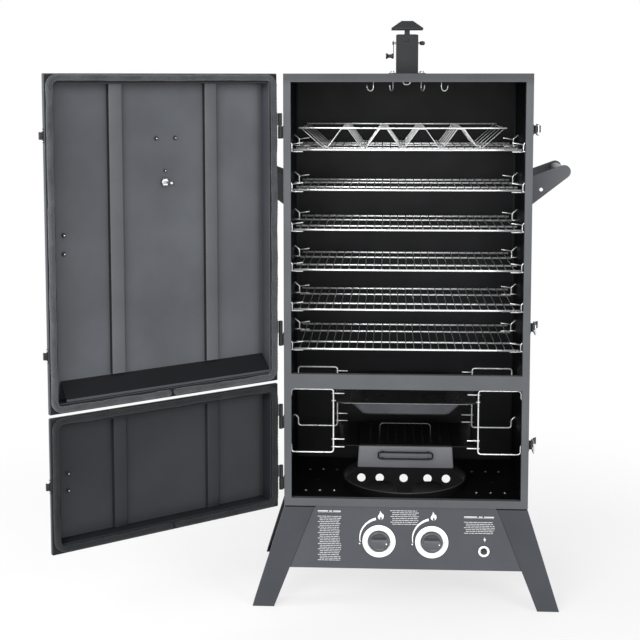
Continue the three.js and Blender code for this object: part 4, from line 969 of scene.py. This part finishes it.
# ------------------------------------------------------------------ water pan and chip box
def pan_mesh(m, x0, x1, y0, y1, zt, zb, slope, rc, flange, fy, lip=2.0, th=1.4):
    """Pressed tray with a flat flange and a rolled edge, as one closed sheet."""
    def ring(d, dy, z, r):
        return [(px, py, z) for px, py in rounded(x0 + d, x1 - d, y0 + dy, y1 - dy, max(r, 0.8), 8)]
    s = []
    F, FY = -flange, -fy
    s.append(ring(F, FY, zt - lip, rc + 4))
    s.append(ring(F + 0.2, FY + 0.2, zt - 0.5, rc + 4))
    s.append(ring(F + 1, FY + 1, zt, rc + 3.5))
    s.append(ring(-1, -1, zt, rc + 1))
    s.append(ring(1, 1, zt - 0.8, rc))
    s.append(ring(2, 2, zt - 3, rc))
    s.append(ring(slope - 1, slope - 1, zb + 5, rc - 3))
    s.append(ring(slope + 1, slope + 1, zb + 1.8, rc - 4))
    s.append(ring(slope + 5, slope + 5, zb + th, rc - 6))
    inner = s[-1]
    o = []
    o.append(ring(slope + 5, slope + 5, zb, rc - 6))
    o.append(ring(slope - 0.4, slope - 0.4, zb + 1.6, rc - 4))
    o.append(ring(slope - 2.4, slope - 2.4, zb + 5, rc - 3))
    o.append(ring(0.6, 0.6, zt - 3.6, rc))
    o.append(ring(-1, -1, zt - th, rc + 1))
    o.append(ring(F + 1.2, FY + 1.2, zt - th, rc + 3.5))
    rings = o + s
    n = len(inner)
    v = [p for r_ in rings for p in r_]
    f = []
    k = len(rings)
    for i in range(k - 1):
        for j in range(n):
            j2 = (j + 1) % n
            f.append((i * n + j, i * n + j2, (i + 1) * n + j2, (i + 1) * n + j))
    f.append(tuple(j for j in range(n))[::-1])
    f.append(tuple((k - 1) * n + j for j in range(n)))
    # the outer bottom is ring 0 and the inner bottom is the last ring; both are capped, and the rolled edge closes the sheet
    m.add(v, f, True)


m = Mesh()
pan_mesh(m, -148, 148, YF + 48, YF + 396, Z0 + 270, Z0 + 229.3, 30, 20, 41.5, 3)
# the sloped front face takes the lighter enamel: painted highlight
for i, fc in enumerate(m.f):
    p = [m.v[k] for k in fc]
    if max(q[2] for q in p) < Z0 + 268.7 and min(q[2] for q in p) > Z0 + 229.5 and max(q[1] for q in p) < YF + 84 and sum(q[1] for q in p) / len(p) < YF + 70:
        m.m[i] = 1
m.make("drip_pan", "water_pan", [ENAMEL, PAN_FRONT_LIT], I4, "black_enamel", ("water_pan",))

CHIP = 142.5
m = Mesh()
pan_mesh(m, -128.6, 128.6, YF + 87.4, YF + 329.6, Z0 + CHIP, Z0 + 80.3, 0.6, 7, 60, 0, 1.6)
for i, fc in enumerate(m.f):
    p = [m.v[k] for k in fc]
    if max(abs(q[0]) for q in p) < 129.5 and max(q[1] for q in p) < YF + 91 and max(q[2] for q in p) < Z0 + CHIP - 1:
        m.m[i] = 1
m.make("chip_tray", "chip_box", [TRAYD, TRAY], I4, "black_enamel", ("chip_box",))
m = Mesh()
hy = YF + 78.6
m.tube(soften([(-62, YF + 88, Z0 + 126), (-63, hy, Z0 + 126), (63, hy, Z0 + 126), (62, YF + 88, Z0 + 126)], 5, 6), 2.5, 12)
m.tube(soften([(-62, YF + 88, Z0 + 108), (-63, hy, Z0 + 108), (63, hy, Z0 + 108), (62, YF + 88, Z0 + 108)], 5, 6), 2.5, 12)
for s in (-1, 1):
    m.tube(soften([(s * 62, hy + 0.2, Z0 + 126), (s * 73, hy, Z0 + 125), (s * 73, hy, Z0 + 109), (s * 62, hy + 0.2, Z0 + 108)], 8, 8), 2.2, 12)
m.make("chip_tray_handle", "chip_box", [TRAYD], I4, "black_enamel")

m = Mesh()
holes = []
for a in range(9):
    for b in range(9):
        x, y = -96 + 24 * a, YF + 208 - 92 + 23 * b
        if abs(abs(x) - 72) < 6 and abs(y - (YF + 176)) < 12:
            continue
        holes.append(ring_pts(x, y, 4.2, 14))
m.plate(rounded(-125.6, 125.6, YF + 90.4, YF + 326.6, 5, 4), holes, Z0 + CHIP + 0.4, Z0 + CHIP + 1.7, "XY")
m.tube(soften([(-70, YF + 176, Z0 + CHIP + 1), (-70, YF + 176, Z0 + 181), (70, YF + 176, Z0 + 181), (70, YF + 176, Z0 + CHIP + 1)], 12, 8), 2, 12, mat=1)
m.make("chip_tray_lid", "chip_lid", [TRAYD, ENAMEL], I4, "black_enamel", ("chip_lid",))

# ------------------------------------------------------------------ burners and gas train
BZ = Z0 - 93
for nm, s in (("left", -1), ("right", 1)):
    x = s * 68
    m = Mesh()
    m.lathe("z", x, 0, Z0, [(0, -48), (26, -48), (31, -47), (43, -39), (45, -35), (45, -18), (43.4, -14.6), (38, -10.4), (12, -9.2), (0, -9)], 64)
    m.lathe("z", x, 0, Z0, [(0, -98), (11, -98), (11.2, -60), (16, -50), (18, -44), (0, -44)], 32)
    m.lathe("y", x, YF + 78, BZ, [(0, 0), (15, 0), (16, 1), (16, 4), (14, 7), (10, 22), (11, 60), (11.3, 150), (9, 168), (0, 172)], 32)
    for k in range(36):
        a = 2 * math.pi * k / 36
        m.lathe("z", x + 40.4 * math.cos(a), 40.4 * math.sin(a), Z0 - 12.4, [(0, -1), (1.6, -1), (1.4, 1.2), (0.8, 1.3), (0, 0.2)], 10, 1)
    m.make(f"burner_{nm}_casting", "cabinet", [IRON, DARK], I4, "burner_iron", (f"burner_{nm}",))
m = Mesh()
m.cyl("x", 0, YF + 34, BZ - 16, 8, 200, 32)
for s in (-1, 1):
    x = s * 70
    m.box(x - 11, x + 11, YF + 12, YF + 44, BZ - 12, BZ + 12, 0, 2)
    m.lathe("y", x, YF + 44, BZ, [(0, 0), (8.6, 0), (8.6, 7), (5, 8), (5, 26), (3, 26.5), (0, 26.5)], 6)
    m.cyl("y", x, YF + 1, BZ, 3, 32, 20)
    m.lathe("x", s * 100, YF + 34, BZ - 16, [(0, -3), (10, -3), (10.4, -2), (10.4, 3), (9, 4), (0, 4)], 6)
m.cyl("z", -94, YF + 34, BZ - 32, 7, 36, 28)
m.lathe("z", -94, YF + 34, BZ - 47, [(0, -5), (10.4, -5), (11, -4), (11, 4), (10.4, 5), (0, 5)], 6)
m.make("gas_rail", "cabinet", [BRASS], I4, "brass_fitting", ("gas_manifold",), sharp=30)

# ------------------------------------------------------------------ chimney fittings
SZ = ZT + 83
m = Mesh()
m.cyl("x", 0.15, 0, SZ, 3, 71.4, 24)
m.lathe("x", 36, 0, SZ, [(0, -2), (3.4, -1.4), (4.6, 0), (5.6, 2.6), (5.8, 6), (5.4, 9.4), (3.8, 12), (0, 13)], 36, 1)
m.make("damper_rod", "damper", [ZINC, BLACK], I4, "plain_steel", ("damper_shaft",))
m = Mesh()
m.plate([(p, q) for p, q in rounded(-5, 5, SZ - 40, SZ + 6, 4.8, 6)], [], -38, -36, "YZ", 1)
m.lathe("x", -58, 0, SZ - 35, [(0, 0), (6.6, 0), (7.6, 0.8), (8.1, 2.5), (7.6, 4), (5.2, 6), (4.7, 9), (4.7, 12), (5.4, 15), (7, 17.4), (7.6, 19), (7.2, 20.4), (6, 21), (0, 21)], 40)
m.lathe("x", -38, 0, SZ, [(0, -2.2), (4, -2.2), (5, -1.2), (5, 0), (0, 0)], 6, 1)
m.make("damper_handle", "damper", [BLACK, DARK], I4, "black_plastic", ("damper_crank",))
m = Mesh()
cz = ZT + 1.8
for x in (-40, 40):
    for y in (-40, 40):
        m.lathe("z", x, y, cz, [(0, 0), (6.6, 0), (6.6, 1.2), (4.9, 1.2), (4.9, 4.6), (4.0, 5.4), (0, 5.4)], 6)
        m.lathe("z", x, y, cz + 0.1, [(0, 0), (7.2, 0), (7.2, 0.9), (0, 0.9)], 28)
for s in (-1, 1):
    head(m, "y", 0, s * 30, ZT + 90, 4.2, 2.4, s, 1)
m.make("flue_fasteners", "cabinet", [ZINC, DARK], I4, "plain_steel")

# ------------------------------------------------------------------ carrying handles
for nm, s in (("left", -1), ("right", 1)):
    m = Mesh()
    m.lathe("y", s * 419, 0, Z0 + 885, [(0, -97.2), (10.6, -97.2), (12, -96.4), (12.6, -94.6), (12.6, 94.6), (12, 96.4), (10.6, 97.2), (0, 97.2)], 56)
    m.make(f"{nm}_grip_tube", "cabinet", [SLEEVE], I4, "grip_plastic", (f"{nm}_handle_grip",))
    m = Mesh()
    for ys in (-1, 1):
        head(m, "y", s * 419, ys * 99.6, Z0 + 885, 0.01, 0.01, ys)
    m = Mesh()
    for y in (-70, 70):
        for z in (805, 850):
            head(m, "x", s * (W / 2 + 2.3), y, Z0 + z, 4.2, 2.2, s)
    m.make(f"{nm}_handle_screws", "cabinet", [ZINC], I4, "plain_steel")

# ------------------------------------------------------------------ controls and panel marks
PF = YF - 0.02


def mark(m, pts, y0=PF, y1=PF - 0.14, mat=0):
    m.plate(pts, [], y1, y0, "XZ", mat)


def ramp_arc(cx, cz, r0, r1, a0, a1, w0, w1, n=40):
    """A thickening arc; angles in degrees, anticlockwise from +x."""
    outer, inner = [], []
    for k in range(n + 1):
        t = k / n
        a = math.radians(a0 + (a1 - a0) * t)
        r = r0 + (r1 - r0) * t
        w = w0 + (w1 - w0) * t
        outer.append((cx + (r + w / 2) * math.cos(a), cz + (r + w / 2) * math.sin(a)))
        inner.append((cx + (r - w / 2) * math.cos(a), cz + (r - w / 2) * math.sin(a)))
    return outer + inner[::-1]


def flame(cx, cz, h):
    """A plain flame sign with a smaller tongue."""
    L = [(-0.02, 0.0), (-0.20, 0.10), (-0.30, 0.28), (-0.26, 0.44), (-0.14, 0.62), (-0.06, 0.82), (-0.08, 1.0), (0.06, 0.86), (0.14, 0.68), (0.16, 0.54), (0.22, 0.62), (0.24, 0.72),
         (0.33, 0.52), (0.34, 0.30), (0.26, 0.12), (0.10, 0.0), (0.16, 0.12), (0.14, 0.26), (0.04, 0.40), (-0.04, 0.26), (-0.08, 0.12)]
    return [(cx + a * h, cz + b * h) for a, b in L]


marks = Mesh()
for s in (-1, 1):
    kx = s * 70
    mark(marks, ramp_arc(kx, BZ, 50, 61, 184, 98, 1.6, 6.4))
    mark(marks, ring_pts(kx - 51.5, BZ - 8, 1.9, 20))
    mark(marks, flame(kx + 4, BZ + 58, 24))
    m = Mesh()
    ky = YF - 2.0
    m.lathe("y", kx, ky, BZ, [(29.4, -0.05), (44, -0.05), (44, -0.9), (43.2, -1.9), (41.6, -2.5), (37, -2.9), (32.6, -2.7), (30.2, -2.0), (29.4, -1.0)], 96, 0)
    for a, w, l in ((0, 1.0, 5.0), (180, 1.0, 5.0)):
        R = Matrix.Translation((kx, ky - 2.86, BZ)) @ Matrix.Rotation(-math.radians(a), 4, "Y")
        m.box(35.2, 35.2 + l, -0.16, 0.12, -w / 2, w / 2, 1, 0, xf=R)
    m.lathe("y", kx + 33.6, ky - 2.78, BZ, [(0, -0.2), (0.9, -0.15), (0.9, 0.2), (0, 0.2)], 14, 1)
    m.make(f"knob_scale_{'left' if s < 0 else 'right'}", "cabinet", [WHITE, KNOB], I4, "black_plastic")
    # knob: dished skirt with a raised finger bar
    nm = "left" if s < 0 else "right"
    m = Mesh()
    y = YF - 2.3
    m.lathe("y", kx, y, BZ, [(0, -0.2), (28.0, -0.2), (28.4, -1.2), (28.4, -4.6), (27.6, -6.6), (25.6, -8.0), (23.6, -8.4), (22.6, -7.6), (18, -6.6), (8, -6.2), (0, -6.2)], 80)
    rings = []
    for yy, hw, hl, rr in ((y - 5.6, 12.6, 26.4, 7.5), (y - 8, 12.0, 26.2, 7.2), (y - 14, 11.4, 25.6, 6.8), (y - 19.6, 10.8, 24.8, 6.4), (y - 21.4, 9.9, 23.6, 5.8), (y - 22.0, 8.2, 21.8, 4.6)):
        rings.append([(kx + px, yy, BZ + pz) for px, pz in rounded(-hl, hl, -hw, hw, rr, 7)])
    m.loft(rings, True)
    m.lathe("y", kx + 19.5, y - 21.9, BZ, [(0, 0.3), (1.9, 0.3), (1.9, -0.12), (0, -0.2)], 20, 1)
    m.make(f"burner_knob_{nm}", f"knob_{nm}", [KNOB, PRINT], I4, "black_plastic", (f"knob_{nm}",))

ix, iz = 208, Z0 - 116
m = Mesh()
m.lathe("y", ix, YF - 2.0, iz, [(9.2, -0.05), (14.8, -0.05), (14.8, -0.8), (14, -1.6), (11.6, -2.0), (9.8, -1.6), (9.2, -0.8)], 64, 0)
m.make("igniter_collar", "cabinet", [WHITE], I4, "black_plastic")
m = Mesh()
m.lathe("y", ix, YF, iz, [(0, 21), (7.2, 21), (7.2, -5.0), (6.6, -6.3), (5.4, -7.0), (4.2, -6.8), (3, -6.3), (0, -6.1)], 40, 0)
m.make("igniter_push_button", "igniter_button", [BLACK], I4, "black_plastic", ("igniter_button",))
bolt_sign = [(ix + 2 + a * 11, iz + 24 + b * 15) for a, b in ((0.05, 0.0), (-0.05, 0.42), (-0.32, 0.38), (0.02, 1.0), (0.0, 0.60), (0.30, 0.64), (0.16, 0.36))]
mark(marks, bolt_sign)
# plain rules where the panel carries its printed notes
rng = random.Random(5)


def note_block(x0, x1, ztop, rows, step, title=True):
    if title:
        w = (x1 - x0) * 0.97
        for a, b in ((0, 0.44), (0.49, 0.62), (0.67, 1.0)):
            mark(marks, [(x0 + w * a, ztop), (x0 + w * b, ztop), (x0 + w * b, ztop - 2.6), (x0 + w * a, ztop - 2.6)], mat=1)
        mark(marks, [(x0, ztop - 4.4), (x0 + w, ztop - 4.4), (x0 + w, ztop - 4.9), (x0, ztop - 4.9)], mat=1)
    z = ztop - (15 if title else 0)
    for k in range(rows):
        x = x0 + (0 if k % 3 == 0 else 5)
        while x < x1 - 4:
            w = rng.uniform(4, 13)
            e = min(x + w, x1 - rng.uniform(0, 7))
            if e - x > 1.5:
                mark(marks, [(x, z), (e, z), (e, z - 1.3), (x, z - 1.3)], mat=1)
            x += w + 1.6
        z -= step
    return z


note_block(-233, -170, Z0 - 12, 25, 5.0)
note_block(-40, 36, Z0 - 9, 8, 5.2, False)
note_block(155, 236, Z0 - 22, 7, 5.0)
# painted shadow line along the joint between the panel and each front leg
for sx in (-1, 1):
    a0, a1 = W / 2 - 79, W / 2 - 79 + (275.5 - 109.6) * (86.5 + 79 - 58) / 275.5
    line = [(sx * (a0 - 0.9), 275.2), (sx * (a0 + 0.3), 275.2), (sx * (a1 + 0.3), 109.6), (sx * (a1 - 0.9), 109.6)]
    mark(marks, line if sx > 0 else line[::-1], mat=2)
marks.make("panel_marks", "cabinet", [PRINT, NOTE, SHADE_BLACK], I4, "painted_steel")

# near-black strips behind the seams of the base: painted shade in the gaps
def inner_edge(z):
    return W / 2 - 79 + (275.5 - z) * (86.5 + 79 - 58) / 275.5


m = Mesh()
for sy, zlow in ((-1, 109.6), (1, 167.5)):
    a, b = sorted((sy * (YB - 3.2), sy * (YB - 2.3)))
    for sx in (-1, 1):
        e0, e1 = sx * inner_edge(275.4), sx * inner_edge(zlow)
        m.plate([(e0 - 6, 275.4), (e0 + 6, 275.4), (e1 + 6, zlow), (e1 - 6, zlow)], [], a, b, "XZ")
        x0, x1 = sorted((sx * 236, sx * 319))
        m.box(x0, x1, a, b, 268, 278.6)
m.make("base_seam_shade_strips", "cabinet", [FIREBOX_BLACK_SHADE], I4, "painted_steel_dark")

# ------------------------------------------------------------------ stage, light and camera
def stage_floor():
    me = bpy.data.meshes.new("studio_floor")
    s = 30
    me.from_pydata([(-s, -s, 0), (s, -s, 0), (s, s, 0), (-s, s, 0)], [], [(0, 1, 2, 3)])
    o = bpy.data.objects.new("studio_floor", me)
    bpy.context.scene.collection.objects.link(o)
    m, t, b = tree("studio_floor")
    t.links.new(ramp(t, noise_tex(t, 3, 2).outputs[0], [(0.3, 0.86), (0.7, 0.89)]), b.inputs["Base Color"])
    b.inputs["Roughness"].default_value = 0.7
    b.inputs["Specular IOR Level"].default_value = 0.2
    glow = N(t, "Emission", Strength=1.0)
    geo = t.nodes.new("ShaderNodeNewGeometry")
    ln = t.nodes.new("ShaderNodeVectorMath")
    ln.operation = "LENGTH"
    t.links.new(geo.outputs["Position"], ln.inputs[0])
    far = N(t, "MapRange")
    far.interpolation_type = "SMOOTHSTEP"
    for k, v in ((1, 0.75), (2, 2.1), (3, 0.68), (4, 1.0)):
        far.inputs[k].default_value = v
    t.links.new(ln.outputs["Value"], far.inputs[0])
    mix = t.nodes.new("ShaderNodeMixShader")
    t.links.new(far.outputs[0], mix.inputs[0])
    t.links.new(b.outputs[0], mix.inputs[1])
    t.links.new(glow.outputs[0], mix.inputs[2])
    out = next(n for n in t.nodes if n.type == "OUTPUT_MATERIAL")
    t.links.new(mix.outputs[0], out.inputs[0])
    me.materials.append(m)
    o.location.z = -0.0005


stage_floor()
world = bpy.data.worlds.new("studio")
bpy.context.scene.world = world
world.use_nodes = True
wt = world.node_tree
bg = wt.nodes["Background"]
bg.inputs[0].default_value = (1.0, 1.0, 1.0, 1)
path = wt.nodes.new("ShaderNodeLightPath")
level = wt.nodes.new("ShaderNodeMapRange")
for k, v in ((1, 0.0), (2, 1.0), (3, 0.5), (4, 1.0)):
    level.inputs[k].default_value = v
wt.links.new(path.outputs["Is Camera Ray"], level.inputs[0])
wt.links.new(level.outputs[0], bg.inputs[1])

centre = Vector((CX / 1000, CY / 1000, 0))


def area(name, loc, target, size, power, size_y=None):
    d = bpy.data.lights.new(name, "AREA")
    d.energy, d.size = power, size
    if size_y:
        d.shape, d.size_y = "RECTANGLE", size_y
    o = bpy.data.objects.new(name, d)
    o.location = centre + Vector(loc)
    o.rotation_mode = "QUATERNION"
    o.rotation_quaternion = (centre + Vector(target) - o.location).to_track_quat("-Z", "Y")
    bpy.context.scene.collection.objects.link(o)


area("key_softbox", (-1.9, -4.0, 2.3), (-0.2, 0, 0.7), 2.0, 128, 2.0)
area("fill_softbox", (2.9, -3.2, 1.9), (-0.2, 0, 0.9), 1.8, 85, 2.4)
area("front_softbox", (0.1, -4.8, 1.0), (0, 0, 0.6), 2.4, 70, 1.2)
area("top_softbox", (0, 0.9, 3.8), (0, 0, 0.8), 2.6, 12)
area("rim_softbox", (-3.0, -1.0, 1.7), (-0.6, -0.5, 0.9), 0.9, 42, 1.8)

cam_data = bpy.data.cameras.new("photo_camera")
cam = bpy.data.objects.new("photo_camera", cam_data)
bpy.context.scene.collection.objects.link(cam)
bpy.context.scene.camera = cam
CAM = Vector((-0.047135, -3.638518, 1.415744)) + centre
yaw, pitch, roll = math.radians(-3.015), math.radians(5.458), math.radians(-0.025)
fwd = Vector((math.sin(yaw) * math.cos(pitch), math.cos(yaw) * math.cos(pitch), -math.sin(pitch)))
cam.location = CAM
cam.rotation_mode = "QUATERNION"
cam.rotation_quaternion = fwd.to_track_quat("-Z", "Y") @ Matrix.Rotation(roll, 3, "Z").to_quaternion()
cam_data.sensor_width = 36
cam_data.lens = 1318.105 * 36 / 640
cam_data.clip_start, cam_data.clip_end = 0.1, 100
SHIFT = (203.06 - 320) / 640
# the lens shift belongs to the main view only: it is zero once the camera is moved elsewhere
drv = cam_data.driver_add("shift_y").driver
drv.type = "SCRIPTED"
for k, axis in (("x", "LOC_X"), ("y", "LOC_Y"), ("z", "LOC_Z")):
    v = drv.variables.new()
    v.name, v.type = k, "TRANSFORMS"
    v.targets[0].id, v.targets[0].transform_type, v.targets[0].transform_space = cam, axis, "WORLD_SPACE"
drv.expression = f"{SHIFT:.6f} if abs(x - {CAM.x:.6f}) + abs(y - {CAM.y:.6f}) + abs(z - {CAM.z:.6f}) < 0.001 else 0.0"

bpy.context.scene.view_settings.view_transform = "Standard"
bpy.context.scene.view_settings.look = "None"

bpy.context.view_layer.update()
